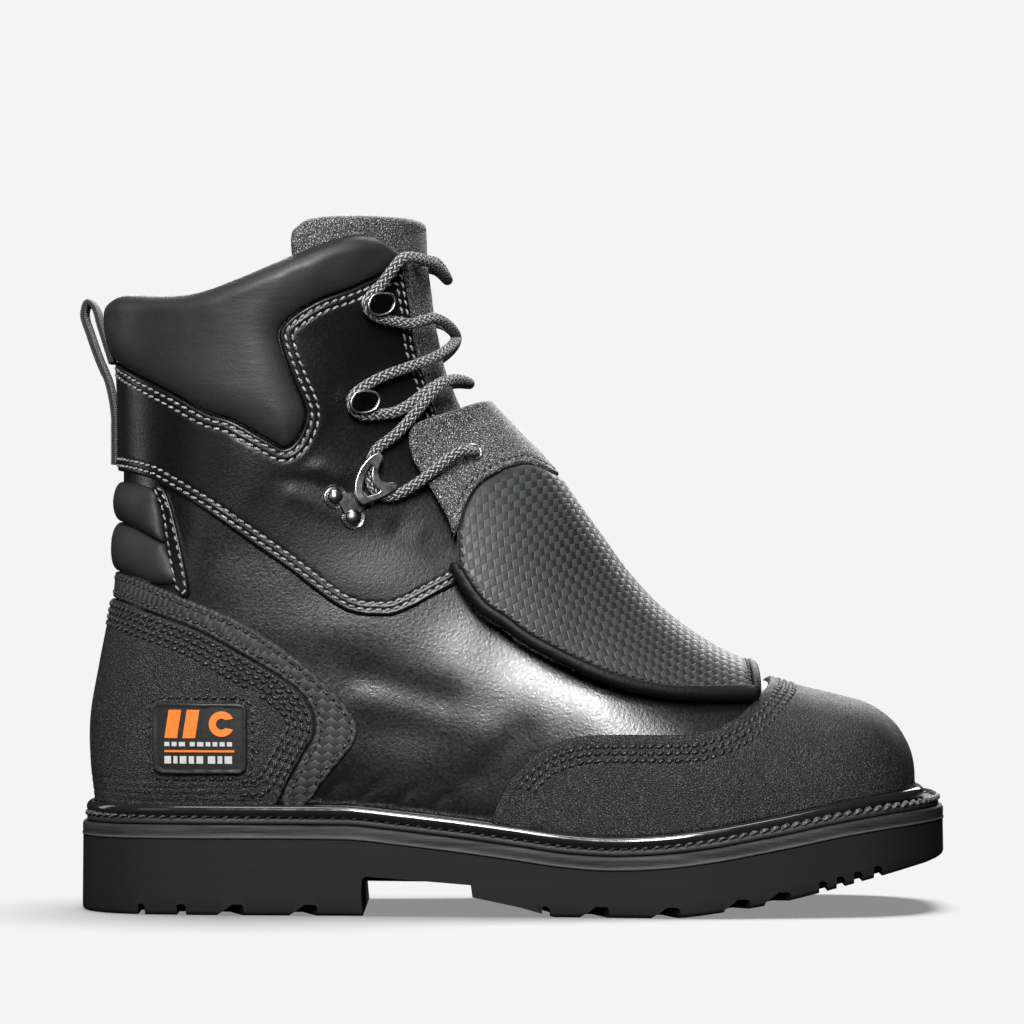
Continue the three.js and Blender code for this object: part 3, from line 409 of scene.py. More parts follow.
def outline_distance(curve, xz):
    """Distance from a closed outline, and its gradient."""
    a = curve
    b = np.roll(curve, -1, axis=0)
    keep = np.linalg.norm(b - a, axis=1) > 1e-6
    a, b = a[keep], b[keep]
    way = b - a
    square = (way ** 2).sum(1)
    value = np.empty(len(xz))
    gradient = np.empty((len(xz), 2))
    for start in range(0, len(xz), POINTS_AT_ONCE):
        part = xz[start:start + POINTS_AT_ONCE]
        px = part[:, None, 0] - a[:, 0]
        pz = part[:, None, 1] - a[:, 1]
        f = np.clip((px * way[:, 0] + pz * way[:, 1]) / square, 0, 1)
        ox = px - f * way[:, 0]
        oz = pz - f * way[:, 1]
        q = ox ** 2 + oz ** 2
        nearest = q.argmin(1)
        rows = np.arange(len(part))
        distance = np.sqrt(q[rows, nearest])
        off = np.stack([ox[rows, nearest], oz[rows, nearest]], axis=1)
        crosses = (a[:, 1] > part[:, None, 1]) != (b[:, 1] > part[:, None, 1])
        slope = np.where(np.abs(way[:, 1]) < 1e-9, 1e-9, way[:, 1])
        at = a[:, 0] + (part[:, None, 1] - a[:, 1]) * way[:, 0] / slope
        inside = (crosses & (part[:, None, 0] < at)).sum(1) % 2 == 1
        sign = np.where(inside, 1.0, -1.0)
        value[start:start + POINTS_AT_ONCE] = sign * distance
        gradient[start:start + POINTS_AT_ONCE] = sign[:, None] * off / np.maximum(distance, 1e-9)[:, None]
    return value, gradient


class Inside:
    """Keeps what lies inside a side view outline, less a margin."""

    sign = 1.0

    def __init__(self, curve, margin=0.0):
        self.curve = curve
        self.margin = margin

    def measure(self, points, normals):
        value, gradient = outline_distance(self.curve, points[:, [0, 2]])
        return on_surface(self.sign * value, self.sign * gradient, normals) - self.margin


class Outside(Inside):
    """Keeps what lies outside a side view outline, less a margin."""

    sign = -1.0


class Over:
    """Keeps what lies over a height that follows the sole."""

    def __init__(self, height):
        self.height = height

    def measure(self, points, normals):
        value = points[:, 2] - self.height(points[:, 0])
        gradient = np.tile([0.0, 1.0], (len(points), 1))
        return on_surface(value, gradient, normals)


class Beside:
    """Keeps one side of the boot's middle plane: -1 is the outer side."""

    def __init__(self, side):
        self.side = side

    def measure(self, points, normals):
        return self.side * points[:, 1] - GAP / 2


def on_surface(value, gradient, normals):
    """Turns a side view distance into one along the surface."""
    lean = gradient[:, 0] * normals[:, 0] + gradient[:, 1] * normals[:, 2]
    return value / np.sqrt(np.maximum(1 - lean ** 2, 0.08))


# Patches: triangles over sections and turns, cut along lines of equal distance from an outline

def even_steps(low, high, count, turns):
    """Section numbers at even steps along the surface."""
    fine = np.linspace(low, high, 400)
    size = 0
    for turn in turns:
        p = last_point(fine, turn)
        size = size + np.linalg.norm(np.diff(p, axis=0), axis=1)
    total = np.concatenate([[0], np.cumsum(size + 0.02 * size.mean())])
    return np.interp(np.linspace(0, total[-1], count + 1), total, fine)


def even_turns(low, high, count, t):
    fine = np.linspace(low, high, 600)
    p = last_point(t, fine)
    total = running_length(p)
    return np.interp(np.linspace(0, total[-1], count + 1), total, fine)


def grid(t, turn):
    """Corner places and triangles of a grid."""
    tt, uu = np.meshgrid(t, turn, indexing="ij")
    where = np.stack([tt.ravel(), uu.ravel()], axis=1)
    cols = len(turn)
    k = (np.arange(len(t) - 1)[:, None] * cols + np.arange(cols - 1)).ravel()
    a, b, c, d = k, k + 1, k + cols + 1, k + cols
    tris = np.concatenate([np.stack([a, b, c], 1), np.stack([a, c, d], 1)])
    return where, tris


def split(where, edge, fixed, tris, level, snap=0.09):
    """Cuts triangles along a line of equal distance."""
    s = edge - level
    near = np.abs(s) < snap
    near &= np.isnan(fixed)
    fixed = np.where(near, level, fixed)
    edge = np.where(near, level, edge)
    side = np.sign(np.where(fixed == level, 0.0, edge - level))
    corners = side[tris]
    crossing = np.zeros((len(tris), 3), bool)
    for k in range(3):
        crossing[:, k] = corners[:, k] * corners[:, (k + 1) % 3] < 0
    busy = crossing.any(1)
    if not busy.any():
        return where, edge, fixed, tris
    quiet = tris[~busy]
    work = tris[busy]
    cross = crossing[busy]
    pairs = np.stack([work, np.roll(work, -1, axis=1)], axis=2)
    chosen = np.sort(pairs[cross], axis=1)
    unique, index = np.unique(chosen, axis=0, return_inverse=True)
    a, b = unique[:, 0], unique[:, 1]
    w = ((level - edge[a]) / (edge[b] - edge[a]))[:, None]
    added = where[a] * (1 - w) + where[b] * w
    number = np.full(cross.shape, -1)
    number[cross] = len(where) + index.ravel()
    where = np.concatenate([where, added])
    edge = np.concatenate([edge, np.full(len(unique), float(level))])
    fixed = np.concatenate([fixed, np.full(len(unique), float(level))])
    made = [quiet]
    counts = cross.sum(1)
    one = counts == 1
    for k in range(3):
        pick = one & cross[:, k]
        if pick.any():
            p, q, r = (work[pick][:, (k + j) % 3] for j in range(3))
            m = number[pick][:, k]
            made.append(np.stack([p, m, r], 1))
            made.append(np.stack([m, q, r], 1))
    two = counts == 2
    for k in range(3):
        pick = two & ~cross[:, k]
        if pick.any():
            p, q, r = (work[pick][:, (k + j) % 3] for j in range(3))
            m = number[pick][:, (k + 1) % 3]
            n = number[pick][:, (k + 2) % 3]
            made.append(np.stack([p, q, m], 1))
            made.append(np.stack([p, m, n], 1))
            made.append(np.stack([n, m, r], 1))
    return where, edge, fixed, np.concatenate(made)


class Patch:
    """A trimmed part of the surface, with each corner's distance from the trimmed edge."""

    def __init__(self, t, turn, limits, levels, base=None):
        where, tris = grid(t, turn)
        self.base = base
        edge = self.measure(where[:, 0], where[:, 1], limits)
        tris = tris[(edge[tris] > -9).any(1)]
        fixed = np.full(len(where), np.nan)
        for level in [0.0, *levels]:
            where, edge, fixed, tris = split(where, edge, fixed, tris, level)
            if level == 0.0:
                tris = tris[(edge[tris] > -1e-6).all(1)]
        used, index = np.unique(tris, return_inverse=True)
        self.t = where[used, 0]
        self.turn = where[used, 1]
        self.fixed = fixed[used]
        self.tris = index.reshape(-1, 3)
        edge = self.measure(self.t, self.turn, limits)
        self.edge = np.where(np.isnan(self.fixed), np.maximum(edge, 0), self.fixed)

    def measure(self, t, turn, limits):
        """Distance from the nearest of some lines."""
        lift = 0.0 if self.base is None else self.base(t, turn)
        points = skin(t, turn, lift + np.zeros(len(t)))
        normals = last_normal(t, turn)
        return np.min([limit.measure(points, normals) for limit in limits], axis=0)

    def far(self, limit):
        """Distance from another line at each corner."""
        return self.measure(self.t, self.turn, [limit])

    def place(self, lift):
        return skin(self.t, self.turn, lift)

    def rim(self):
        """Corners on the trimmed boundary, and the boundary's sides."""
        sides = np.concatenate([self.tris[:, [0, 1]], self.tris[:, [1, 2]], self.tris[:, [2, 0]]])
        key = np.sort(sides, axis=1)
        _, index, counts = np.unique(key, axis=0, return_index=True, return_counts=True)
        return sides[index[counts == 1]]


def weld(points, faces, tolerance=0.004):
    """Joins corners that lie at one place and drops faces that fold up."""
    key = np.round(points / tolerance).astype(np.int64)
    _, first, index = np.unique(key, axis=0, return_index=True, return_inverse=True)
    faces = index.ravel()[faces]
    good = faces[:, 0] != faces[:, 1]
    for k in range(1, faces.shape[1]):
        good &= faces[:, k] != faces[:, (k + 1) % faces.shape[1]]
    return first, faces[good], good


def round_over(edge, radius):
    """0 at the edge, rising as a quarter circle to 1 at the radius."""
    f = 1 - np.clip(edge / radius, 0, 1)
    return np.sqrt(np.maximum(1 - f * f, 0))


def dip(edge, middle, half):
    """Soft bell, 1 at the middle and 0 a half width away."""
    f = np.clip(np.abs(edge - middle) / half, 0, 1)
    return (1 - f * f) ** 2


def smooth_step(value, low, high):
    f = np.clip((value - low) / (high - low), 0, 1)
    return f * f * (3 - 2 * f)


def waves(points, size, seed, count=14):
    """Smooth unevenness about -1 to 1, with features of a size."""
    random = np.random.default_rng(seed)
    total = 0
    for _ in range(count):
        way = random.normal(size=3)
        way *= 2 * PI / (size * random.uniform(0.7, 1.6)) / np.linalg.norm(way)
        total = total + np.sin(points @ way + random.uniform(0, 2 * PI))
    return total / math.sqrt(count / 2) / 1.6


# Meshes

def into_scene(name, data):
    thing = bpy.data.objects.new(name, data)
    bpy.context.scene.collection.objects.link(thing)
    return thing


def tube_faces(rings, sides):
    """Faces between rings of corners."""
    faces = []
    for i in range(rings - 1):
        for k in range(sides):
            n = (k + 1) % sides
            faces.append([i * sides + k, i * sides + n, (i + 1) * sides + n, (i + 1) * sides + k])
    return faces


def end_faces(rings, sides):
    """Caps of the first and the last ring."""
    last = (rings - 1) * sides
    return [list(range(sides))[::-1], list(range(last, last + sides))]


def prism_faces(count):
    """Faces of a prism between two outlines of the same number of corners."""
    faces = [list(range(count)), list(range(2 * count - 1, count - 1, -1))]
    for j in range(count):
        k = (j + 1) % count
        faces.append([j, j + count, k + count, k])
    return faces


def joined(parts):
    """Several forms as one."""
    points, faces, count = [], [], 0
    for p, f in parts:
        points.append(p)
        faces += [[k + count for k in face] for face in f]
        count += len(p)
    return np.concatenate(points), faces


def new_object(name, points, faces, material, smooth=True, uv=None, slots=None, attributes=None):
    """Object from corners in millimetres. slots gives each face's material number."""
    mesh = bpy.data.meshes.new(name)
    faces = faces.tolist() if hasattr(faces, "tolist") else faces
    mesh.from_pydata((np.asarray(points) * MM).tolist(), [], faces)
    if uv is not None:
        layer = mesh.uv_layers.new(name="surface")
        index = np.empty(len(mesh.loops), int)
        mesh.loops.foreach_get("vertex_index", index)
        layer.data.foreach_set("uv", np.asarray(uv, float)[index].ravel())
    for key, values in (attributes or {}).items():
        mesh.attributes.new(key, "FLOAT", "POINT").data.foreach_set("value", np.asarray(values, float))
    mesh.polygons.foreach_set("use_smooth", np.full(len(mesh.polygons), smooth))
    for each in material if isinstance(material, list) else [material]:
        mesh.materials.append(each)
    if slots is not None:
        mesh.polygons.foreach_set("material_index", np.asarray(slots, int))
    mesh.validate()
    mesh.update()
    thing = into_scene(name, mesh)
    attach(thing, "root")
    return thing


def surface_uv(t, turn):
    """Millimetres along the surface from the front line, and up from section to section."""
    fine_t = np.linspace(0, LAST, 500)
    rows = last_point(fine_t, 0.6)
    climb = running_length(rows)
    fine_u = np.linspace(-PI, PI, 721)
    ring = last_point(14.0, fine_u)
    round_ = running_length(ring)
    middle = np.interp(0.0, fine_u, round_)
    u = np.interp((turn + PI) % (2 * PI) - PI, fine_u, round_) - middle
    return np.stack([u, np.interp(t, fine_t, climb)], axis=1)


def shell(name, patch, outer, inner, material, node, inner_material=None, attributes=None):
    """Closed piece from a patch's outer and inner faces, which meet along its edge."""
    high = patch.place(outer)
    low = patch.place(inner)
    rim = patch.rim()
    on_rim = np.zeros(len(high), bool)
    on_rim[rim.ravel()] = True
    meets = on_rim & (np.abs(outer - inner) < 0.02)
    low[meets] = high[meets]
    count = len(high)
    points = np.concatenate([high, low])
    walls = np.concatenate([
        np.stack([rim[:, 1], rim[:, 0], rim[:, 0] + count], 1),
        np.stack([rim[:, 1], rim[:, 0] + count, rim[:, 1] + count], 1),
    ])
    faces = np.concatenate([patch.tris, patch.tris[:, ::-1] + count, walls])
    slots = np.concatenate([np.zeros(len(patch.tris)), np.ones(len(patch.tris)), np.zeros(len(walls))])
    first, faces, good = weld(points, faces)
    points = points[first]
    middle = points[faces].mean(1)
    spin = np.cross(points[faces[:, 1]] - points[faces[:, 0]], points[faces[:, 2]] - points[faces[:, 0]])
    if (middle * spin).sum() < 0:
        faces = faces[:, ::-1]

    def both(values):
        return np.concatenate([values, values])[first]

    doubled = {key: both(value) for key, value in (attributes or {}).items()}
    doubled["edge"] = both(patch.edge)
    chart = both(surface_uv(patch.t, patch.turn))
    finishes = [material, inner_material or material]
    piece = new_object(name, points, faces, finishes, uv=chart, slots=slots[good], attributes=doubled)
    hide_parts(node)
    return piece


def iso_lines(patch, level):
    """Chains of corners along a line of equal distance."""
    on = patch.fixed == level
    sides = np.concatenate([patch.tris[:, [0, 1]], patch.tris[:, [1, 2]], patch.tris[:, [2, 0]]])
    sides = np.unique(np.sort(sides[on[sides].all(1)], axis=1), axis=0)
    links = {}
    for a, b in sides.tolist():
        links.setdefault(a, []).append(b)
        links.setdefault(b, []).append(a)
    chains = []
    seen = set()
    starts = sorted(links, key=lambda k: (len(links[k]) != 1, k))
    for start in starts:
        if start in seen:
            continue
        chain = [start]
        seen.add(start)
        here = start
        while True:
            ahead = [k for k in links[here] if k not in seen]
            if not ahead:
                break
            here = ahead[0]
            seen.add(here)
            chain.append(here)
        if len(chain) > 3:
            chains.append(np.array(chain))
    return chains


def stitch_form(length, width, height):
    """One stitch along x: a short thread whose ends go down into the leather."""
    rings, sides = 6, 6
    points = []
    for f in np.linspace(-1, 1, rings):
        girth = math.sqrt(max(1 - 0.92 * f ** 4, 0.02))
        rise = height * (1 - 1.15 * f * f)
        for a in 2 * PI * np.arange(sides) / sides:
            aside = width / 2 * girth * math.cos(a)
            points.append((length / 2 * f, aside, rise + 0.5 * height * girth * math.sin(a)))
    return np.array(points), np.array(tube_faces(rings, sides))


def lay_stitches(rows, pitch, length, width, height, slant, seed):
    """Joined stitches along rows of places, each with its normals."""
    random = np.random.default_rng(seed)
    form, faces = stitch_form(length, width, height)
    points, all_faces, count = [], [], 0
    for line, normals in rows:
        line = np.asarray(line)
        lengths = running_length(line)
        number = int(lengths[-1] / pitch)
        if number < 1:
            continue
        spare = (lengths[-1] - number * pitch) / 2
        wanted = spare + pitch * (np.arange(number) + 0.5)

        def at(values, place):
            return np.stack([np.interp(place, lengths, values[:, k]) for k in range(3)], axis=1)

        here = at(line, wanted)
        way = unit(at(line, wanted + length / 2) - at(line, wanted - length / 2))
        out = unit(at(normals, wanted))
        side = unit(np.cross(out, way))
        tilt = slant + random.normal(0, 0.05, number)[:, None]
        ahead = unit(way * np.cos(tilt) + side * np.sin(tilt))
        side = np.cross(out, ahead)
        jitter = 1 + random.normal(0, 0.05, number)
        block = (here[:, None] + form[None, :, 0, None] * ahead[:, None] * jitter[:, None, None]
                 + form[None, :, 1, None] * side[:, None] + form[None, :, 2, None] * out[:, None])
        points.append(block.reshape(-1, 3))
        starts = count + len(form) * np.arange(number)
        all_faces.append((faces[None] + starts[:, None, None]).reshape(-1, 4))
        count += len(form) * number
    return np.concatenate(points), np.concatenate(all_faces)


def seam(patch, lift, levels, keep=None, shortest=8.0):
    """Rows of places for stitches along lines of equal distance on a patch."""
    places = patch.place(lift)
    normals = last_normal(patch.t, patch.turn)
    rows = []
    for level in levels:
        for chain in iso_lines(patch, level):
            line = places[chain]
            wanted = np.ones(len(chain), bool) if keep is None else keep(line)
            runs = np.split(np.arange(len(chain)), np.nonzero(np.diff(wanted.astype(int)))[0] + 1)
            for run in runs:
                if not wanted[run[0]] or len(run) < 4:
                    continue
                part = smooth_line(line[run])
                if np.linalg.norm(np.diff(part, axis=0), axis=1).sum() > shortest:
                    rows.append((part, normals[chain[run]]))
    return rows


def smooth_line(line, rounds=3):
    line = line.copy()
    for _ in range(rounds):
        line[1:-1] = 0.5 * line[1:-1] + 0.25 * (line[:-2] + line[2:])
    return line


def stitches(name, rows, seed, pitch=3.3, length=2.7, width=0.95, height=0.55, slant=0.2, material=None):
    points, faces = lay_stitches(rows, pitch, length, width, height, slant, seed)
    piece = new_object(name, points, faces, material or thread)


# Materials

class Nodes:
    """Short hand for a material's node tree."""

    def __init__(self, name):
        self.material = bpy.data.materials.new(name)
        self.material.use_nodes = True
        self.tree = self.material.node_tree
        self.shader = self.tree.nodes["Principled BSDF"]
        self.object = self.add("ShaderNodeTexCoord").outputs["Object"]

    def add(self, kind, **values):
        node = self.tree.nodes.new(kind)
        for key, value in values.items():
            setattr(node, key, value)
        return node

    def link(self, source, target):
        self.tree.links.new(source, target)

    def put(self, value, socket):
        """Links another node's output to a socket, or sets the socket's value."""
        if isinstance(value, bpy.types.NodeSocket):
            self.link(value, socket)
        else:
            socket.default_value = value

    def feed(self, node, **inputs):
        for key, value in inputs.items():
            self.put(value, node.inputs[key.replace("_", " ")])
        return node

    def noise(self, scale, detail=3.0, rough=0.55, vector=None):
        node = self.feed(self.add("ShaderNodeTexNoise"), Scale=scale, Detail=detail, Roughness=rough)
        self.link(vector or self.object, node.inputs["Vector"])
        return node.outputs["Fac"]

    def cells(self, scale, feature="F1", randomness=1.0):
        node = self.add("ShaderNodeTexVoronoi", feature=feature)
        self.feed(node, Scale=scale, Randomness=randomness)
        self.link(self.object, node.inputs["Vector"])
        return node.outputs["Distance"]

    def math(self, operation, a, b=None):
        node = self.add("ShaderNodeMath", operation=operation)
        self.put(a, node.inputs[0])
        if b is not None:
            self.put(b, node.inputs[1])
        return node.outputs[0]

    def remap(self, value, low, high, to_low=0.0, to_high=1.0):
        node = self.add("ShaderNodeMapRange")
        self.feed(node, Value=value, From_Min=low, From_Max=high, To_Min=to_low, To_Max=to_high)
        return node.outputs["Result"]

    def vary(self, value, low, high):
        """Spreads the middle of a noise over a range."""
        return self.remap(value, 0.3, 0.7, low, high)

    def mix(self, factor, a, b):
        node = self.add("ShaderNodeMix", data_type="RGBA")
        for number, value in ((0, factor), (6, a), (7, b)):
            self.put(value, node.inputs[number])
        return node.outputs[2]

    def stretch(self, scale, spin, vector=None):
        node = self.feed(self.add("ShaderNodeMapping"), Scale=scale, Rotation=spin)
        self.link(vector or self.object, node.inputs["Vector"])
        return node.outputs["Vector"]

    def parts(self, vector):
        node = self.feed(self.add("ShaderNodeSeparateXYZ"), Vector=vector)
        return node.outputs[0], node.outputs[1]

    def attribute(self, name):
        return self.add("ShaderNodeAttribute", attribute_name=name).outputs["Fac"]

    def uv(self):
        return self.add("ShaderNodeUVMap", uv_map="surface").outputs["UV"]

    def bump(self, height, strength, distance, below=None):
        node = self.feed(self.add("ShaderNodeBump"), Strength=strength, Distance=distance * MM)
        self.link(height, node.inputs["Height"])
        if below is not None:
            self.link(below, node.inputs["Normal"])
        return node.outputs["Normal"]

    def finish(self, color, roughness, normal, **constants):
        self.feed(self.shader, Base_Color=color, Roughness=roughness, **constants)
        if normal is not None:
            self.link(normal, self.shader.inputs["Normal"])
        return self.material


def grey(value, tint=0.0):
    """Near neutral colour, a little cooler with a positive tint."""
    return (value * (1 - tint), value, value * (1 + tint), 1.0)


def full_grain(name, value, rough, pore, coat, gloss):
    """Waxed full grain leather: fine pebble, pores and a soft gloss."""
    n = Nodes(name)
    broad = n.noise(28, 3)
    fine = n.noise(900, 2)
    pebble = n.cells(900, "SMOOTH_F1")
    pore_map = n.cells(1700, "F1")
    color = n.mix(n.remap(broad, 0.35, 0.7), grey(value * 0.85), grey(value * 1.15, 0.02))
    roughness = n.math("ADD", n.vary(broad, rough - 0.015, rough + 0.02), n.vary(fine, -0.05, 0.05))
    low = n.bump(n.noise(60, 2, 0.5), 0.05, 0.5 * pore)
    mid = n.bump(n.math("MULTIPLY", pebble, n.vary(broad, 0.6, 1.0)), 0.22 * pore, 0.24, low)
    top = n.bump(n.math("ADD", pore_map, fine), 0.16 * pore, 0.18, mid)
    return n.finish(color, roughness, top, Coat_Weight=coat, Coat_Roughness=0.28, IOR=gloss)


def pebbled(name, value, rough):
    """Coarse abrasion leather: tight grit, with pale specks painted into the colour as glints of light."""
    n = Nodes(name)
    broad = n.noise(40, 2)
    grit = n.cells(1900, "F1")
    lumps = n.noise(1150, 3, 0.7)
    speck = n.noise(2300, 2, 0.6)
    # The pale specks are painted glints of light on the grit.
    painted_glints = n.math("POWER", n.remap(speck, 0.46, 0.74), 2.2)
    color = n.mix(painted_glints, grey(value * 0.4), grey(value * 26.0, 0.01))
    roughness = n.math("ADD", n.vary(lumps, rough + 0.1, rough - 0.14), n.vary(broad, -0.03, 0.03))
    low = n.bump(lumps, 0.8, 0.55)
    top = n.bump(grit, 0.7, 0.4, low)
    return n.finish(color, roughness, top, IOR=1.42)


def soft_pad(name, value, rough):
    n = Nodes(name)
    broad = n.noise(30, 3)
    wrinkle = n.noise(60, 4, 0.6, n.stretch((0.6, 1.0, 3.2), (0.0, 0.25, 0.0)))
    grain = n.cells(1300, "SMOOTH_F1")
    color = n.mix(broad, grey(value * 0.85), grey(value * 1.12, 0.015))
    roughness = n.vary(n.noise(300, 2), rough - 0.04, rough + 0.05)
    low = n.bump(wrinkle, 0.16, 1.2)
    top = n.bump(grain, 0.16, 0.25, low)
    return n.finish(color, roughness, top, Coat_Weight=0.06, Coat_Roughness=0.35, IOR=1.45)


def basket(name, value, rough, pitch, spin):
    """Embossed square weave that follows the surface, and is left out where the piece is plain."""
    n = Nodes(name)
    u, v = n.parts(n.stretch((0.85 / pitch, 1.15 / pitch, 1.0), (0.0, 0.0, spin), n.uv()))
    cell = n.math("ADD", n.math("FLOOR", u), n.math("FLOOR", v))
    odd = n.math("GREATER_THAN", n.math("PINGPONG", cell, 1.0), 0.5)
    fu = n.math("SUBTRACT", n.math("FRACT", u), 0.5)
    fv = n.math("SUBTRACT", n.math("FRACT", v), 0.5)

    def rounded(f, power):
        """1 along the middle of a strand, 0 at its sides."""
        return n.math("SUBTRACT", 1.0, n.math("POWER", n.math("MULTIPLY", n.math("ABSOLUTE", f), 2.0), power))

    crown_u = n.math("MULTIPLY", rounded(fu, 3.0), rounded(fv, 6.0))
    crown_v = n.math("MULTIPLY", rounded(fv, 3.0), rounded(fu, 6.0))
    height_u = n.math("ADD", n.math("MULTIPLY", crown_u, 0.55), n.math("MULTIPLY", fv, 0.5))
    height_v = n.math("ADD", n.math("MULTIPLY", crown_v, 0.3), n.math("MULTIPLY", fu, -0.3))
    height = n.math("ADD", n.math("MULTIPLY", height_u, odd),
                    n.math("MULTIPLY", height_v, n.math("SUBTRACT", 1.0, odd)))
    broad = n.noise(35, 3)
    # One direction of cells is painted lighter and the other darker, as painted sheen on the strands, mixed
    # with a random tone.
    painted_sheen_and_tone = n.math("ADD", n.math("MULTIPLY", odd, 0.55), n.math("MULTIPLY", broad, 0.45))
    color = n.mix(painted_sheen_and_tone, grey(value * 0.1), grey(value * 2.6, 0.02))
    uneven = n.vary(n.noise(400, 3), rough + 0.06, rough + 0.16)
    roughness = n.math("SUBTRACT", uneven, n.math("MULTIPLY", odd, 0.1))
    woven = n.math("SUBTRACT", 1.0, n.attribute("plain"))
    color = n.mix(woven, grey(value * 0.9), color)
    low = n.bump(n.math("MULTIPLY", height, woven), 0.55, 0.5)
    top = n.bump(n.noise(1500, 2), 0.15, 0.2, low)
    return n.finish(color, roughness, top, IOR=1.42)


def thread_finish(name, value):
    n = Nodes(name)
    twist_and_glints = n.noise(1600, 2, 0.5, n.stretch((1.0, 1.0, 2.0), (0.4, 0.6, 0.2)))
    # Pale spots along the twist are painted glints, on top of the value given.
    color = n.mix(n.remap(twist_and_glints, 0.4, 0.65), grey(value * 0.3), grey(value * 2.6))
    return n.finish(color, 0.34, n.bump(twist_and_glints, 0.6, 0.4), Sheen_Weight=0.2, Sheen_Roughness=0.4)


def ground_rubber(name, value, rough):
    """Rubber whose edge was ground along its length."""
    n = Nodes(name)
    scratch = n.noise(160, 5, 0.65, n.stretch((0.06, 0.06, 3.2), (0.0, 0.06, 0.0)))
    broad = n.noise(26, 3)
    grit = n.noise(1300, 3)
    color = n.mix(n.math("MULTIPLY", scratch, broad), grey(value * 0.85), grey(value * 1.25, 0.04))
    roughness = n.vary(scratch, rough + 0.03, rough - 0.03)
    low = n.bump(scratch, 0.25, 0.22)
    return n.finish(color, roughness, n.bump(grit, 0.25, 0.12, low), IOR=1.32)


def brushed_rubber(name, value, rough):
    """Midsole edge: slanted brushing, with a paler smooth lip at its foot."""
    n = Nodes(name)
    scratch = n.noise(200, 5, 0.75, n.stretch((0.16, 0.16, 2.6), (0.0, 0.32, 0.0)))
    lip = n.attribute("lip")
    grit = n.noise(1100, 3)
    base = n.mix(n.remap(scratch, 0.36, 0.66), grey(value * 0.45), grey(value * 2.6, 0.02))
    color = n.mix(lip, base, grey(value * 4.2, 0.02))
    roughness = n.vary(scratch, rough + 0.05, rough - 0.1)
    low = n.bump(scratch, 0.5, 0.4)
    return n.finish(color, roughness, n.bump(grit, 0.35, 0.2, low), IOR=1.36)


def polished(name, value):
    n = Nodes(name)
    swell = n.noise(60, 2)
    return n.finish(grey(value), n.vary(n.noise(220, 2), 0.12, 0.22), n.bump(swell, 0.12, 0.6),
                    Coat_Weight=0.6, Coat_Roughness=0.08, IOR=1.5)


def tape(name, value):
    """Woven webbing: ribs across the band."""
    n = Nodes(name)
    u, v = n.parts(n.uv())
    ribs = n.math("SINE", n.math("MULTIPLY", u, 2 * PI / 1.4))
    weft = n.math("SINE", n.math("MULTIPLY", v, 2 * PI / 0.8))
    height = n.math("ADD", n.math("MULTIPLY", ribs, 0.6), n.math("MULTIPLY", weft, 0.4))
    # The colour follows the rib height: painted shade in the hollows and painted light on the rib tops.
    color = n.mix(n.remap(height, -1, 1), grey(value * 0.5), grey(value * 1.6))
    return n.finish(color, 0.8, n.bump(height, 0.5, 0.4), Sheen_Weight=0.3, Sheen_Roughness=0.5)


def dark_metal(name, value, rough):
    n = Nodes(name)
    smudge = n.noise(260, 3)
    color = n.mix(smudge, grey(value * 0.8), grey(value * 1.2, 0.03))
    return n.finish(color, n.vary(smudge, rough - 0.05, rough + 0.08), n.bump(n.noise(500, 2), 0.05, 0.2),
                    Metallic=1.0)


def braid(name):
    """Round braid: slanted strands that meet along the lace, black with grey flecks."""
    n = Nodes(name)
    around, length = n.parts(n.uv())
    fold = n.math("PINGPONG", n.math("MULTIPLY", around, 6.0), 1.0)
    slant = n.math("ADD", n.math("MULTIPLY", length, 1 / 1.35), n.math("MULTIPLY", fold, 0.8))
    strand = n.math("ABSOLUTE", n.math("SINE", n.math("MULTIPLY", slant, PI)))
    band = n.math("FRACT", n.math("MULTIPLY", n.math("FLOOR", slant), 0.5))
    strip = n.math("FLOOR", n.math("MULTIPLY", around, 6.0))
    column = n.math("FRACT", n.math("MULTIPLY", strip, 0.5))
    pale = n.math("GREATER_THAN", n.math("ABSOLUTE", n.math("SUBTRACT", band, column)), 0.25)
    fleck = n.math("MULTIPLY", pale, n.remap(strand, 0.25, 0.8))
    color = n.mix(fleck, grey(0.006), grey(0.42))
    return n.finish(color, 0.7, n.bump(strand, 0.9, 0.5), Sheen_Weight=0.25, Sheen_Roughness=0.5)


def brushed_cloth(name, value):
    """Mesh lining with a raised nap."""
    n = Nodes(name)
    mesh = n.cells(700, randomness=0.3)
    fuzz = n.noise(1400, 3)
    color = n.mix(n.remap(mesh, 0.1, 0.6), grey(value * 1.4), grey(value * 0.5))
    nap = n.bump(n.math("ADD", mesh, fuzz), 0.5, 0.5)
    return n.finish(color, 0.85, nap, Sheen_Weight=0.3, Sheen_Roughness=0.6)


def moulded(name, color, rough):
    """Moulded rubber with a fine grain."""
    n = Nodes(name)
    grain = n.noise(900, 3)

    def shade(share):
        return tuple(share * c for c in color[:3]) + (1.0,)

    return n.finish(n.mix(grain, shade(0.8), shade(1.15)), n.vary(grain, rough - 0.06, rough + 0.06),
                    n.bump(grain, 0.2, 0.2))


smooth_leather = full_grain("smooth_leather", 0.004, 0.33, 0.9, 0.03, 1.40)
rim_leather = full_grain("rim_leather", 0.004, 0.52, 1.4, 0.0, 1.35)
vamp_leather = full_grain("vamp_leather", 0.004, 0.29, 1.0, 0.05, 1.60)
rough_leather = pebbled("rough_leather", 0.0075, 0.52)
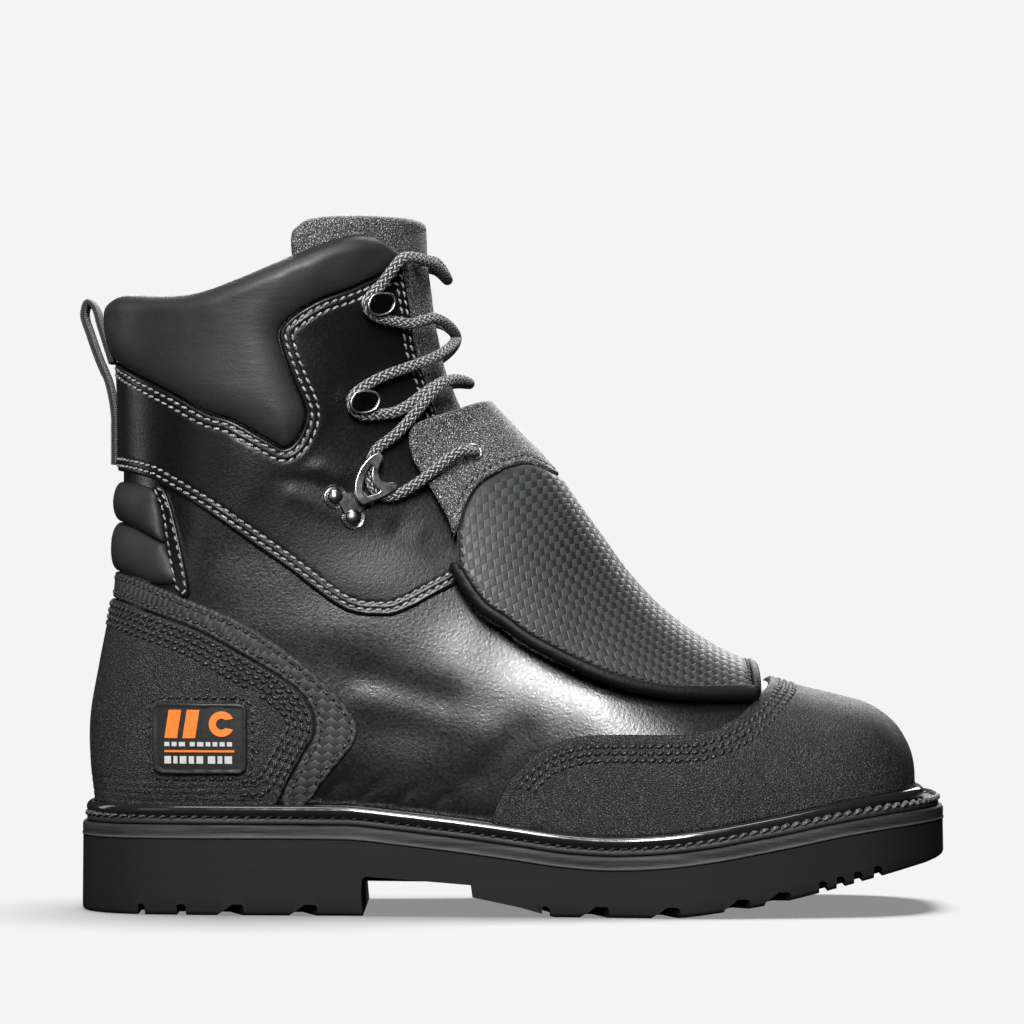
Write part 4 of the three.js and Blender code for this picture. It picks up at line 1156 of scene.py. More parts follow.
# A copy of the abrasion leather painted several times lighter, standing in for the light on the up-facing
# tongue and guard tab; its specks are painted glints too.
tab_leather_painted_light = pebbled("tab_leather_painted_light", 0.040, 0.48)
pad_leather = soft_pad("pad_leather", 0.018, 0.50)
puff_leather = soft_pad("puff_leather", 0.014, 0.62)
woven_leather = basket("woven_leather", 0.026, 0.42, 2.6, PI / 4)
woven_trim = basket("woven_trim", 0.024, 0.5, 1.9, -0.5)
lining_cloth = brushed_cloth("lining_cloth", 0.03)
# The quarter and fold stitches take thread painted light grey, as painted glints, and the welt's is painted a
# little lighter too; the other rows keep the thread's own black.
thread = thread_finish("thread", 0.19)
dark_thread = thread_finish("dark_thread", 0.004)
welt_thread_painted_lighter = thread_finish("welt_thread_painted_lighter", 0.05)
sole_rubber = ground_rubber("sole_rubber", 0.0065, 0.66)
midsole_rubber = brushed_rubber("midsole_rubber", 0.013, 0.62)
welt_rubber = moulded("welt_rubber", grey(0.012), 0.6)
rand_gloss = polished("rand_gloss", 0.012)
webbing = tape("webbing", 0.007)
webbing_band = tape("webbing_band", 0.12)
# The lock hook keeps the hardware's own dark metal; the rims of the hooks and eyelets get a copy painted
# lighter, as painted highlight, and the hook faces a copy painted darker, as painted reflection of the dark
# room.
hook_metal = dark_metal("hook_metal", 0.32, 0.24)
face_metal_painted_dark = dark_metal("face_metal_painted_dark", 0.10, 0.14)
ring_metal_painted_light = dark_metal("ring_metal_painted_light", 0.62, 0.3)
lace_cord = braid("lace_cord")
badge_rubber = moulded("badge_rubber", grey(0.012), 0.45)
badge_orange = moulded("badge_orange", (0.85, 0.20, 0.02, 1.0), 0.5)
badge_white = moulded("badge_white", (0.55, 0.55, 0.54, 1.0), 0.5)


# Camera first

def make_camera():
    data = bpy.data.cameras.new("photo_camera")
    data.sensor_width = 36
    data.lens = 36 * -CAMERA_PLACE[1] / VIEW_WIDTH
    data.clip_end = 50
    camera = into_scene("photo_camera", data)
    camera.location = CAMERA_PLACE
    camera.rotation_euler = (PI / 2, 0, 0)
    bpy.context.scene.camera = camera


make_camera()


# Places of the hooks, the same as the part's

def turn_for(t, share):
    """Turn at which a section reaches a share of the way from its front to its back."""
    row = catmull(SECTIONS, t)
    belly = row[..., 6]
    front = share < belly
    power = np.where(front, row[..., 7], row[..., 8])
    u = np.where(front, 1 - share / belly, (share - belly) / (1 - belly))
    w = (1 - np.minimum(u, 1) ** power) ** (1 / power)
    return np.arctan2(w, np.where(front, u, -u))


def lift_at(lift, seat):
    return lift(*seat) if callable(lift) else lift


def seat_of(place, lift):
    """Section and turn of the outer side whose lifted point lies at a side view place."""
    target = side_view([place])[0]
    aim = target.copy()
    t = np.arange(1, LAST, 0.02)
    rows = catmull(SECTIONS, t)
    a = np.stack([along(rows[:, 0]), up(rows[:, 1])], 1)
    way = np.stack([along(rows[:, 2]), up(rows[:, 3])], 1) - a
    for _ in range(8):
        share = ((aim - a) * way).sum(1) / (way ** 2).sum(1)
        off = np.linalg.norm(aim - (a + way * share[:, None]), axis=1)
        off = np.where((share > 0) & (share < 1), off, np.inf)
        best = off.argmin()
        seat = (t[best], float(turn_for(t[best], share[best])))
        p = skin(*seat, lift_at(lift, seat))
        aim = aim + target - p[[0, 2]]
    return seat


def frame_at(seat, lift):
    """Frame on the skin: z out of the surface, x forward."""
    origin = skin(*seat, lift_at(lift, seat))
    out = last_normal(*seat)
    forward = unit(np.array([1.0, 0, 0]) - out * out[0])
    sideways = np.cross(out, forward)
    return np.stack([forward, sideways, out]), origin


def mirrored(seat):
    return (seat[0], -seat[1])


QUARTER_LIFT = GAP + OVERLAY
LACE_RADIUS = LACE / 2
HOOK_BASE = 1.1
LACE_RISE = 2 * GAP + HOOK_BASE + LACE_RADIUS
PLATE_RISE = LACE_RISE + LACE_RADIUS + GAP

seats = {
    "top": seat_of(SPEED_HOOKS["top"], QUARTER_LIFT),
    "mid": seat_of(SPEED_HOOKS["mid"], QUARTER_LIFT),
    "nose": seat_of(LOCK_NOSE, QUARTER_LIFT),
    "back": seat_of(LOCK_RIVETS[0], QUARTER_LIFT),
    "low": seat_of(LOCK_RIVETS[1], QUARTER_LIFT),
    "eyelet": seat_of(EYELET_PLACE, guard_stand),
}


# Lace

def lace_route(side):
    """Half of the lace: out of an eyelet, round the locking hook and on from side to side."""
    route = []

    def seat_at(name, outer):
        return seats[name] if outer == (side > 0) else mirrored(seats[name])

    def by(name, outer, lift, places):
        seat = seat_at(name, outer)
        axes, origin = frame_at(seat, lift)
        upright = 1 if seat[1] > 0 else -1
        for x, y, z in places:
            route.append(origin + x * axes[0] + upright * y * axes[1] + z * axes[2])

    def cross(t, lift):
        route.append(skin(t, 0.0, lift))

    def part(name, outer, share, dt, lift):
        seat = seat_at(name, outer)
        route.append(skin(seat[0] + dt, share * seat[1], lift))

    def low_leg(z, drop):
        return [(14, -3.4 - drop, z), (6, -4.6 - 0.4 * drop, z), (0, -4.6, z), (-3.2, -2, z), (-2.8, 2.2, z)]

    lock_rise = LACE_RISE - HOOK_BASE
    over_edge = QUARTER_LIFT + LACE_RISE
    over_eyelet = 4 * GAP + EYELET_HEIGHT + LACE_RADIUS
    by("eyelet", True, guard_stand, [
        (0.9, 0.4, -4.6), (0.2, 0.1, -1.6), (-0.3, -0.1, 1.0), (-2.6, -1.0, 3.0),
        (-8, -3.4, over_eyelet + 0.4),
    ])
    by("nose", True, QUARTER_LIFT, [
        (14, -0.4, lock_rise + 3), (6, -4.8, lock_rise + 0.4), (1, -4.2, lock_rise), (-2, 0, lock_rise),
        (-2.2, 5.4, lock_rise), (-0.4, 11.4, lock_rise), (7.6, 18.3, lock_rise + 1.4),
    ])
    part("nose", True, 0.5, 0.4, over_edge + 1.2)
    cross(seats["mid"][0] - 2.5, LACE_RISE)
    part("mid", False, 0.5, -1.75, over_edge)
    by("mid", False, QUARTER_LIFT, [*low_leg(LACE_RISE, 0), (1.4, 5.6, LACE_RISE), (9.2, 9.4, LACE_RISE)])
    part("mid", False, 0.5, -1, over_edge)
    cross(seats["mid"][0] - 1.15, LACE_RISE)
    part("top", True, 0.5, -2.3, over_edge)
    by("top", True, QUARTER_LIFT, [
        *low_leg(LACE_RISE, 4), (1.2, 6.4, LACE_RISE + 0.6), (5.6, 12.2, LACE_RISE + 1.8),
        (10.5, 16.4, LACE_RISE + 1.4),
    ])
    part("top", True, 0.5, -0.25, over_edge)
    cross(seats["top"][0] - 1.5, LACE_RISE)
    part("top", False, 0.3, -0.6, LACE_RISE - 1.6)
    part("top", False, 0.52, -0.1, -0.2)
    return route


def sweep(line, radius, sides, uv_turns):
    """Closed round tube along a line, with its places round and along it as UV."""
    way = unit(np.gradient(line, axis=0))
    side = np.empty_like(line)
    guess = np.array([0.0, 0.0, 1.0])
    for i, w in enumerate(way):
        guess = guess - w * (guess @ w)
        guess /= np.linalg.norm(guess)
        side[i] = guess
    other = np.cross(way, side)
    radius = np.broadcast_to(np.asarray(radius, float), (len(line),))
    angle = 2 * PI * np.arange(sides + 1) / sides
    ring = (np.cos(angle)[None, :, None] * side[:, None] + np.sin(angle)[None, :, None] * other[:, None])
    points = line[:, None] + ring * radius[:, None, None]
    lengths = running_length(line)
    uv = np.stack(np.broadcast_arrays(uv_turns * angle[None] / (2 * PI), lengths[:, None]), axis=-1)
    count = sides + 1
    k = (np.arange(len(line) - 1)[:, None] * count + np.arange(sides)).ravel()
    faces = np.stack([k, k + 1, k + count + 1, k + count], 1)
    points = points.reshape(-1, 3)
    uv = uv.reshape(-1, 2)
    caps = []
    for ring_start, flip in ((0, True), ((len(line) - 1) * count, False)):
        cap = list(range(ring_start, ring_start + sides))
        caps.append(cap[::-1] if flip else cap)
    return points, faces.tolist() + caps, uv


def make_lace():
    step = 0.6
    tubes, charts = [], []
    for side in (1, -1):
        line = resample(centripetal(lace_route(side), 24), step=step)
        radius = LACE_RADIUS * (1 + 0.035 * np.sin(2 * PI * np.arange(len(line)) * step / 1.9))
        points, faces, uv = sweep(line, radius, 14, 2.0)
        tubes.append((points, faces))
        charts.append(uv)
    points, faces = joined(tubes)
    piece = new_object("lace_braid", points, faces, lace_cord, uv=np.concatenate(charts))
    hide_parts("lace")


make_lace()


# Upper

FULL_TURN = (0.0, 2 * PI)
EDGE_LEVELS = [0.12, 0.35, 0.8]
STITCH_ROWS = (2.2, 4.6)
ROW_LEVELS = [1.5, 2.2, 2.9, 3.9, 4.6, 5.3]
HEAVY_ROW = {"pitch": 3.2, "length": 3.5, "height": 0.55, "slant": 0.3}

quarter_curve = above(QUARTER, 112)
pad_curve = above(PAD, 112)
collar_curve = above(COLLAR_TOP, 112)
throat_curve = throat_outline()
trim_curve = closed(TRIM_LINE, (0, 12, 13))
counter_curve = closed(COUNTER, (0, 11, 12))
toe_curve = closed(TOE_CAP, (0, 13, 14, 15))
guard_curve = closed(GUARD_LINE, (8, 10, 11, 12))
guard_seam_curve = above(GUARD_SEAM, 100)
tab_curve = closed(GUARD_TAB, (0, 9, 10, 11))
tongue_curve = closed(TONGUE)
below_rand = Over(lambda x: rand_top(x) - 0.4)


def leather_lift(patch, thickness, radius=0.8, rows=STITCH_ROWS, depth=0.22, seed=3, swell=0.25):
    """Outer face of a leather overlay: a rounded edge, sunk stitch rows and a soft unevenness."""
    lift = GAP - 0.25 + (thickness + 0.25) * round_over(patch.edge, radius)
    for row in rows:
        lift = lift - depth * dip(patch.edge, row, 0.9)
    for a, b in zip(rows, rows[1:]):
        lift = lift + 0.5 * depth * dip(patch.edge, (a + b) / 2, 0.9)
    inner = smooth_step(patch.edge, 1, 12)
    return lift + swell * inner * waves(last_point(patch.t, patch.turn), 38, seed)


# Creases, in the side view: both ends in percent, then depth and half width in millimetres
QUARTER_CREASES = (
    (22.5, 66.4, 30.0, 62.8, 0.55, 3.6), (23.5, 63.4, 31.0, 59.6, -0.5, 3.4),
    (25.0, 60.0, 32.0, 56.6, 0.35, 3.8),
    (37.0, 55.0, 43.0, 51.0, -0.45, 4.5), (34.0, 58.0, 39.0, 54.5, 0.3, 3.5),
)
VAMP_CREASES = (
    (27.5, 15.2, 30.5, 19.4, -0.3, 1.5), (31.0, 15.0, 34.5, 18.8, -0.28, 1.3),
    (35.5, 14.8, 38.5, 18.2, -0.3, 1.5),
    (40.0, 14.6, 42.5, 17.4, -0.25, 1.3), (33.0, 34.0, 42.0, 31.0, -0.4, 6.0),
    (34.0, 30.5, 46.0, 26.5, 0.4, 7.0),
    (46.0, 20.0, 51.0, 26.0, -0.3, 5.0),
)


def creased(points, creases):
    """Soft troughs and ridges along lines of the side view."""
    seen = points[:, [0, 2]]
    lift = np.zeros(len(points))
    for x0, z0, x1, z1, depth, half in creases:
        a, b = side_view([(x0, z0), (x1, z1)])
        share = np.clip((seen - a) @ (b - a) / np.dot(b - a, b - a), 0, 1)
        far = np.linalg.norm(seen - a - share[:, None] * (b - a), axis=1)
        lift += depth * np.exp(-(far / half) ** 2)
    return lift


def under_lift(patch):
    """Inner face of an overlay: under the skin, and a little less deep at its edge."""
    return np.where(patch.edge < 1e-6, GAP - 0.25, GAP - 0.6)


def make_upper():
    t = even_steps(0, LAST, 230, (0.0, PI / 2, PI))
    turn = even_turns(*FULL_TURN, 190, 14.0)
    limits = [
        Over(lambda x: sole_top(x) + 2 * GAP), Outside(throat_curve), Outside(collar_curve),
    ]
    patch = Patch(t, turn, limits, [0.2, 0.6, 1.2])
    places = last_point(patch.t, patch.turn)
    crease = 0.22 * waves(places, 30, 5) * smooth_step(patch.edge, 3, 16)
    crease = crease + creased(places, VAMP_CREASES) * smooth_step(patch.edge, 1, 6)
    rim = round_over(patch.edge, 1.2)
    outer = -WALL / 2 + (WALL / 2) * rim + crease
    top = places[:, 2] / BOOT_HEIGHT
    pad = 2.6 * smooth_step(top, 0.66, 0.74) * round_over(patch.edge, 9) + 0.25 * waves(places, 26, 8)
    inner = -WALL / 2 - (WALL / 2) * rim - pad * rim
    shell("upper_leather", patch, outer, inner, vamp_leather, "upper", lining_cloth)


def make_quarters():
    rows = []
    for name, side, span in (("outer", -1, (0.0, PI)), ("inner", 1, (-PI, 0.0))):
        t = even_steps(11, LAST, 200, (0.0, PI / 2, PI))
        turn = even_turns(*span, 120, 19.0)
        limits = [
            Inside(quarter_curve), Outside(pad_curve, GAP), Outside(throat_curve, GAP), Outside(collar_curve),
            Beside(side),
        ]
        patch = Patch(t, turn, limits, EDGE_LEVELS + ROW_LEVELS)
        outer = leather_lift(patch, OVERLAY)
        soft = creased(last_point(patch.t, patch.turn), QUARTER_CREASES)
        outer = outer + soft * smooth_step(patch.edge, 7, 14)
        shell(f"quarter_leather_{name}", patch, outer, under_lift(patch), smooth_leather,
              f"quarter_{name}")
        rows += seam(patch, outer, STITCH_ROWS, lambda p: np.abs(p[:, 1] - centre(p[:, 0])) > 6)
    stitches("quarter_stitches", rows, seed=11)


def make_toe_cap():
    t = even_steps(0, 12, 170, (0.0, PI / 2))
    turn = even_turns(-PI, PI, 220, 7.0)
    border = Inside(toe_curve)
    rows = (4.4, 6.8, 9.4)
    levels = EDGE_LEVELS + [level for row in rows for level in (row - 0.7, row, row + 0.7)]
    patch = Patch(t, turn, [border, below_rand], levels)
    outer = leather_lift(patch, OVERLAY, rows=(), seed=21, swell=0.12)
    far = patch.far(border)
    for row in rows:
        outer = outer - 0.3 * dip(far, row, 1.0)
    outer = outer + 0.2 * dip(far, 2.2, 2.0)
    shell("toe_cap_leather", patch, outer, under_lift(patch), rough_leather, "toe_cap")
    lines = seam(patch, outer, rows, lambda p: p[:, 2] > rand_top(p[:, 0]) + 10.5)
    stitches("toe_cap_stitches", lines, width=1.35, seed=15, material=dark_thread, **HEAVY_ROW)


def over_rand(p):
    return p[:, 2] > rand_top(p[:, 0]) + 1.5


def counter_band(p):
    """Keeps the counter's stitches off its foot."""
    return over_rand(p) & ((p[:, 0] > 6) | (p[:, 2] > rand_top(p[:, 0]) + 12))


def make_counter():
    t = even_steps(9, 21, 110, (PI / 2, PI))
    turn = even_turns(0.25 * PI, 1.75 * PI, 150, 17.0)
    limits = [Inside(trim_curve), Outside(counter_curve, GAP), below_rand]
    trim = Patch(t, turn, limits, EDGE_LEVELS + [1.5, 2.2, 2.9])
    outer = leather_lift(trim, TRIM, rows=(2.2,), seed=31, swell=0.1)
    shell("counter_trim_weave", trim, outer, under_lift(trim), woven_trim, "counter_trim")
    rows = (2.0, 4.4, 6.8, 9.2)
    levels = EDGE_LEVELS + [1.4, 2.0, 2.6, 3.8, 4.4, 5.0, 6.2, 6.8, 7.4, 8.6, 9.2, 9.8]
    patch = Patch(t, turn, [Inside(counter_curve), below_rand], levels)
    lift = leather_lift(patch, OVERLAY, rows=rows, seed=33, swell=0.12)
    shell("heel_counter_leather", patch, lift, under_lift(patch), rough_leather,
          "heel_counter")
    lines = seam(patch, lift, rows, counter_band)
    lines = [line for line in lines if line[0][:, 2].max() > rand_top(0) + 14]
    stitches("counter_stitches", lines, width=1.3, seed=12, material=dark_thread, **HEAVY_ROW)
    lines = seam(trim, outer, (2.2,), over_rand)
    stitches("counter_trim_stitches", lines, height=0.4, seed=13, material=dark_thread)


make_upper()
make_quarters()
make_toe_cap()
make_counter()


# Padded pieces

def make_collar():
    t = even_steps(17, LAST, 150, (0.0, PI / 2, PI))
    turn = even_turns(*FULL_TURN, 230, 22.0)
    limits = [Inside(pad_curve), Outside(collar_curve)]
    patch = Patch(t, turn, limits, [0.3, 0.8, 1.6, 3.0])
    places = last_point(patch.t, patch.turn)
    seam_far = patch.far(Inside(pad_curve))
    top_far = patch.far(Outside(collar_curve))
    puff = COLLAR_PUFF * round_over(seam_far, 13) ** 0.85
    creases = 0.16 * dip(top_far, 8, 6) * waves(places * [1, 1, 0.3], 12, 43) + 0.22 * waves(places, 44, 44)
    full = GAP + puff + creases * smooth_step(seam_far, 1, 8)
    roll = round_over(top_far, 5.5)
    outer = -WALL / 2 + (full + WALL / 2) * roll
    outer = np.where(patch.edge < 1e-6, np.where(top_far < 0.3, -WALL / 2, GAP - 0.25), outer)
    inner = np.where(patch.edge < 1e-6, outer, np.minimum(GAP - 0.6, outer - 0.4))
    piece = shell("collar_pad", patch, outer, inner, pad_leather, "collar")


def make_ankle_pads():
    t = even_steps(15, 23, 110, (PI,))
    turn = even_turns(0.6 * PI, 1.4 * PI, 130, 20.0)
    pad = closed(ANKLE_PAD, (0, 5))
    split_line = above(ANKLE_SEAM, 80)
    for name, half in (("upper", Inside(split_line)), ("lower", Outside(split_line, GAP))):
        patch = Patch(t, turn, [Inside(pad), half, Outside(trim_curve, GAP)], [0.3, 0.8, 1.6, 3.0])
        places = last_point(patch.t, patch.turn)
        outer = GAP - 0.25 + (ANKLE_PUFF + 0.25) * round_over(patch.edge, 8) ** 0.9
        outer = outer + 0.12 * waves(places, 26, 51) * smooth_step(patch.edge, 1, 6)
        piece = shell(f"ankle_pad_{name}", patch, outer, under_lift(patch), puff_leather,
                      f"achilles_pad_{name}")


def make_folds():
    outline = closed(FOLD)
    rows = []
    for name, span in (("outer", (0.55 * PI, 0.95 * PI)), ("inner", (-0.95 * PI, -0.55 * PI))):
        t = even_steps(14, 23, 90, (PI,))
        patch = Patch(t, even_turns(*span, 50, 20.0), [Inside(outline)], EDGE_LEVELS + [1.1])
        outer = leather_lift(patch, TRIM, rows=(), swell=0.05)
        rows += seam(patch, outer, (1.1,))
        shell(f"fold_strip_{name}", patch, outer, under_lift(patch), smooth_leather,
              f"vamp_fold_{name}")
    stitches("fold_stitches", rows, length=2.3, width=0.8, height=0.4, seed=14)


def make_tongue():
    t = even_steps(9, LAST, 150, (0.0, 0.8))
    turn = even_turns(-0.8 * PI, 0.8 * PI, 170, 20.0)
    middle = -WALL - GAP - TONGUE_PAD / 2
    patch = Patch(t, turn, [Inside(tongue_curve)], [0.3, 0.8, 1.6, 2.7], lambda t, turn: middle)
    places = last_point(patch.t, patch.turn)
    rim = round_over(patch.edge, TONGUE_PAD / 2)
    sway = 0.35 * waves(places, 24, 61) * smooth_step(patch.edge, 1, 8)
    outer = middle + TONGUE_PAD / 2 * rim + np.minimum(sway, 0.1)
    inner = middle - TONGUE_PAD / 2 * rim
    piece = shell("tongue_pad", patch, outer, inner, tab_leather_painted_light, "tongue", lining_cloth)


make_collar()
make_ankle_pads()
make_folds()
make_tongue()


# Guard

GUARD_GRID = (even_steps(4, 18, 180, (0.0, 0.9)), even_turns(-0.85 * PI, 0.85 * PI, 200, 11.0))


def near(limit, distance):
    """Keeps the stitches that lie near a line."""
    return lambda p: limit.measure(p, np.tile([0.0, -1.0, 0.0], (len(p), 1))) < distance


def make_shield():
    inset = Inside(guard_curve, RIM_WIDTH)
    seam_line = Outside(guard_seam_curve, GAP)
    patch = Patch(*GUARD_GRID, [inset, seam_line], [0.15, 0.5, 0.9, 1.5, 2.1], guard_stand)
    stand = guard_stand(patch.t, patch.turn)
    rim = round_over(patch.edge, 0.5)
    seam_far = patch.far(seam_line)
    inset_far = patch.far(inset)
    outer = stand - SHIELD / 2 + SHIELD / 2 * rim - 0.35 * (1 - smooth_step(seam_far, 0, 2.2))
    outer = outer - 0.18 * dip(inset_far, 1.2, 0.8)
    inner = stand - SHIELD / 2 - SHIELD / 2 * rim
    plain = np.maximum(1 - smooth_step(seam_far, 1.6, 3.2), 1 - smooth_step(inset_far, 0.5, 2.0))
    shell("guard_weave", patch, outer, inner, woven_leather, "guard_shield", lining_cloth,
          attributes={"plain": plain})
    rows = seam(patch, outer, (0.9,), near(inset, 2.0))
    stitches("guard_stitches", rows, length=2.5, width=0.8, height=0.35, seed=18, material=dark_thread)


def make_binding():
    over_rim = closed([(30, RIM_TOP), (90, RIM_TOP), (90, 90), (30, 90)], (0, 1, 2, 3))
    limits = [Inside(guard_curve), Outside(over_rim), Outside(closed_inset())]
    patch = Patch(*GUARD_GRID, limits, [0.2, 0.6, 1.2, 1.8], guard_stand)
    stand = guard_stand(patch.t, patch.turn)
    half = (SHIELD + RIM_STEP) / 2
    roll = round_over(patch.far(Inside(guard_curve)), 2.6) * (0.6 + 0.4 * round_over(patch.edge, 0.5))
    roll = np.where(patch.edge < 1e-6, 0.0, roll)
    outer = stand + RIM_STEP - half + half * roll
    inner = stand + RIM_STEP - half - half * roll
    shell("guard_binding", patch, outer, inner, rim_leather, "guard_rim")


def make_tab():
    over_seam = Inside(guard_seam_curve)
    levels = EDGE_LEVELS + [2.4, 3.0, 3.6]
    patch = Patch(*GUARD_GRID, [Inside(tab_curve), over_seam], levels, guard_stand)
    stand = guard_stand(patch.t, patch.turn)
    rim = round_over(patch.edge, 1.2)
    far = patch.far(over_seam)
    outer = stand - TAB / 2 + TAB / 2 * rim - 0.25 * dip(far, 3.0, 0.9) + 0.3 * dip(far, 1.3, 1.6)
    inner = stand - TAB / 2 - TAB / 2 * rim
    shell("guard_tab_leather", patch, outer, inner, tab_leather_painted_light, "guard_tab", lining_cloth)
    rows = seam(patch, outer, (3.0,), near(over_seam, 4.5))
    stitches("tab_stitches", rows, length=2.6, width=0.9, height=0.4, seed=19, material=dark_thread)


def closed_inset():
    """The guard's outline moved in by the width of its rim."""
    curve = guard_curve
    way = unit(np.roll(curve, -1, axis=0) - np.roll(curve, 1, axis=0))
    out = np.stack([way[:, 1], -way[:, 0]], 1)
    area = 0.5 * np.sum(curve[:, 0] * np.roll(curve[:, 1], -1) - np.roll(curve[:, 0], -1) * curve[:, 1])
    return curve - np.sign(area) * out * (RIM_WIDTH - GAP)


make_shield()
make_binding()
make_tab()


# Sole

def feather_side(outer_side, height):
    """Plan curve where the last meets the top of the sole, from the toe to the heel on one side."""
    t = np.linspace(0, LAST, 900)
    high = np.full(len(t), 0.0 if outer_side else 2 * PI)
    low = np.full(len(t), PI)
    foot = last_point(t, low)
    good = foot[:, 2] <= height(foot[:, 0])
    for _ in range(32):
        middle = (high + low) / 2
        p = last_point(t, middle)
        over = p[:, 2] > height(p[:, 0])
        high = np.where(over, middle, high)
        low = np.where(over, low, middle)
    found = last_point(t[good], ((high + low) / 2)[good])
    found[[0, -1], 1] = centre(found[[0, -1], 0])
    return found


SIDE_STEPS = 220


def feather_loop(height):
    """Even loop from the toe by the outer side to the heel and back by the inner side."""
    outer = resample(feather_side(True, height), count=SIDE_STEPS)
    inner = resample(feather_side(False, height), count=SIDE_STEPS)
    loop = np.concatenate([outer, inner[1:-1][::-1]])
    for _ in range(12):
        loop = 0.5 * loop + 0.25 * (np.roll(loop, 1, axis=0) + np.roll(loop, -1, axis=0))
    return loop


feather = feather_loop(sole_top)


def plan_loop(distance, height, loop=None):
    """A loop grown in plan by a distance that may follow x."""
    loop = feather if loop is None else loop
    way = unit((np.roll(loop, -1, axis=0) - np.roll(loop, 1, axis=0))[:, :2])
    grown = distance(loop[:, 0]) if callable(distance) else distance
    x = loop[:, 0] - way[:, 1] * grown
    y = loop[:, 1] + way[:, 0] * grown
    return np.stack([x, y, height(x)], axis=1)


def slab(levels):
    """Closed slab of the sole: rings from the bottom up, capped by strips from side to side."""
    rings = [plan_loop(distance, height) for distance, height in levels]
    count = len(feather)
    points = np.concatenate(rings)
    faces = tube_faces(len(rings), count)
    for ring, flip in ((0, True), (len(rings) - 1, False)):
        base = ring * count
        for a in range(SIDE_STEPS):
            quad = []
            for c in (a, a + 1, (count - a - 1) % count, (count - a) % count):
                if base + c not in quad:
                    quad.append(base + c)
            faces.append(quad[::-1] if flip else quad)
    return points, faces


def sole_reach(inset):
    return lambda x: reach(x) - inset


def midsole_bottom(x):
    return sole_top(x) - MIDSOLE


def outward(points, faces):
    """Turns the faces of a closed form so that they point out."""
    volume = 0.0
    for face in faces:
        for a, b in zip(face[1:], face[2:]):
            volume += points[face[0]] @ np.cross(points[a], points[b])
    return faces if volume > 0 else [face[::-1] for face in faces]


def extruded(outline, low, high, shear=0.0):
    """Closed prism of a side view outline between two y places. Shear moves x with y."""
    outline = np.asarray(outline, float)
    count = len(outline)
    points = []
    for y in (low, high):
        points.append(np.stack([outline[:, 0] + shear * y, np.full(count, float(y)), outline[:, 1]], 1))
    points = np.concatenate(points)
    return points, outward(points, prism_faces(count))


def carve(piece, cutters):
    """Cuts closed forms out of a piece, one after another, and removes them."""
    for number, (points, faces) in enumerate(cutters):
        mesh = bpy.data.meshes.new(f"cutter_{number}")
        mesh.from_pydata((points * MM).tolist(), [], faces)
        cutter = into_scene(f"cutter_{number}", mesh)
        modifier = piece.modifiers.new("cut", "BOOLEAN")
        modifier.operation = "DIFFERENCE"
        modifier.object = cutter
        modifier.solver = "MANIFOLD"
        graph = bpy.context.evaluated_depsgraph_get()
        result = bpy.data.meshes.new_from_object(piece.evaluated_get(graph))
        piece.modifiers.clear()
        old = piece.data
        piece.data = result
        bpy.data.meshes.remove(old)
        bpy.data.objects.remove(cutter)


def edge_at(x, side):
    """Where the edge of the sole lies at x on one side."""
    loop = plan_loop(sole_reach(0), lambda x: 0 * x)
    loop = loop[side * (loop[:, 1] - centre(loop[:, 0])) > 0]
    return loop[np.abs(loop[:, 0] - x).argmin(), 1]


def sharpen(piece, degrees=32):
    """Smooth shading with sharp edges where faces turn by more than an angle."""
    mesh = piece.data
    mesh.polygons.foreach_set("use_smooth", np.ones(len(mesh.polygons), bool))
    mesh.set_sharp_from_angle(angle=math.radians(degrees))


BREAST = HEEL_BACK + HEEL_LENGTH
ARCH_TOP = 0.44 * SOLE_HEIGHT
ARCH_FRONT = 0.35 * SOLE_HEIGHT


def outsole_levels():
    """Rounded foot of the wall, and the wall up to the midsole."""
    rounding = 1.6
    levels = [(sole_reach(rounding), tread)]
    for angle in (22, 45, 68, 90):
        a = math.radians(angle)
        inset = rounding * (1 - math.sin(a))
        rise = rounding * (1 - math.cos(a))
        levels.append((sole_reach(inset), lambda x, rise=rise: tread(x) + rise))

    def wall(f):
        return lambda x: (tread(x) + rounding) * (1 - f) + f * (midsole_bottom(x) - GAP)

    return levels + [(sole_reach(0.2 * f), wall(f)) for f in (0.25, 0.5, 0.75, 1.0)]


def arch_form():
    """What is cut away between the heel and the forefoot."""
    start = float(along(45.1))
    end = float(along(54.6))
    return extruded([
        (BREAST, -5), (BREAST - 0.9, 0.3 * ARCH_TOP), (BREAST - 1.2, 0.6 * ARCH_TOP),
        (BREAST - 0.8, ARCH_TOP - 1), (BREAST + 0.6, ARCH_TOP), (start, ARCH_FRONT), (start + 0.6, 7),
        (float(along(50.8)), 3.4), (end, 0), (end, -5),
    ], -BALL_WIDTH, BALL_WIDTH)


def inner_groove_form(low, high, side):
    """Long groove under the heel or the forefoot."""
    a, b = float(along(low)), float(along(high))
    y, width = side * INNER_GROOVE[0], INNER_GROOVE[1]
    deep = 0.6 * LUG_DEPTH + float(tread((a + b) / 2))
    return extruded([(a, -3), (b, -3), (b, deep), (a, deep)], y - width / 2, y + width / 2)


def edge_groove_form(at, width, slant, side):
    """Groove between two lugs, open at the edge of the sole."""
    x = float(along(at))
    base = float(tread(x))
    edge = float(edge_at(x, side))
    inner = side * (abs(edge) - LUG_REACH)
    low, high = sorted((inner, inner + side * 2 * LUG_REACH))
    half = width / 2
    ramp = 0.45 * width if slant else 0.0
    top = base + LUG_DEPTH
    shear = side * slant
    outline = [
        (x - half - 0.2 * ramp, base - 4), (x - half, base + 0.4), (x - half + ramp, top - 0.5),
        (x - half + ramp + 0.6, top), (x + half - 0.9, top), (x + half, top - 0.9), (x + half, base - 4),
    ]
    return extruded([(px - shear * edge, pz) for px, pz in outline], low, high, shear)


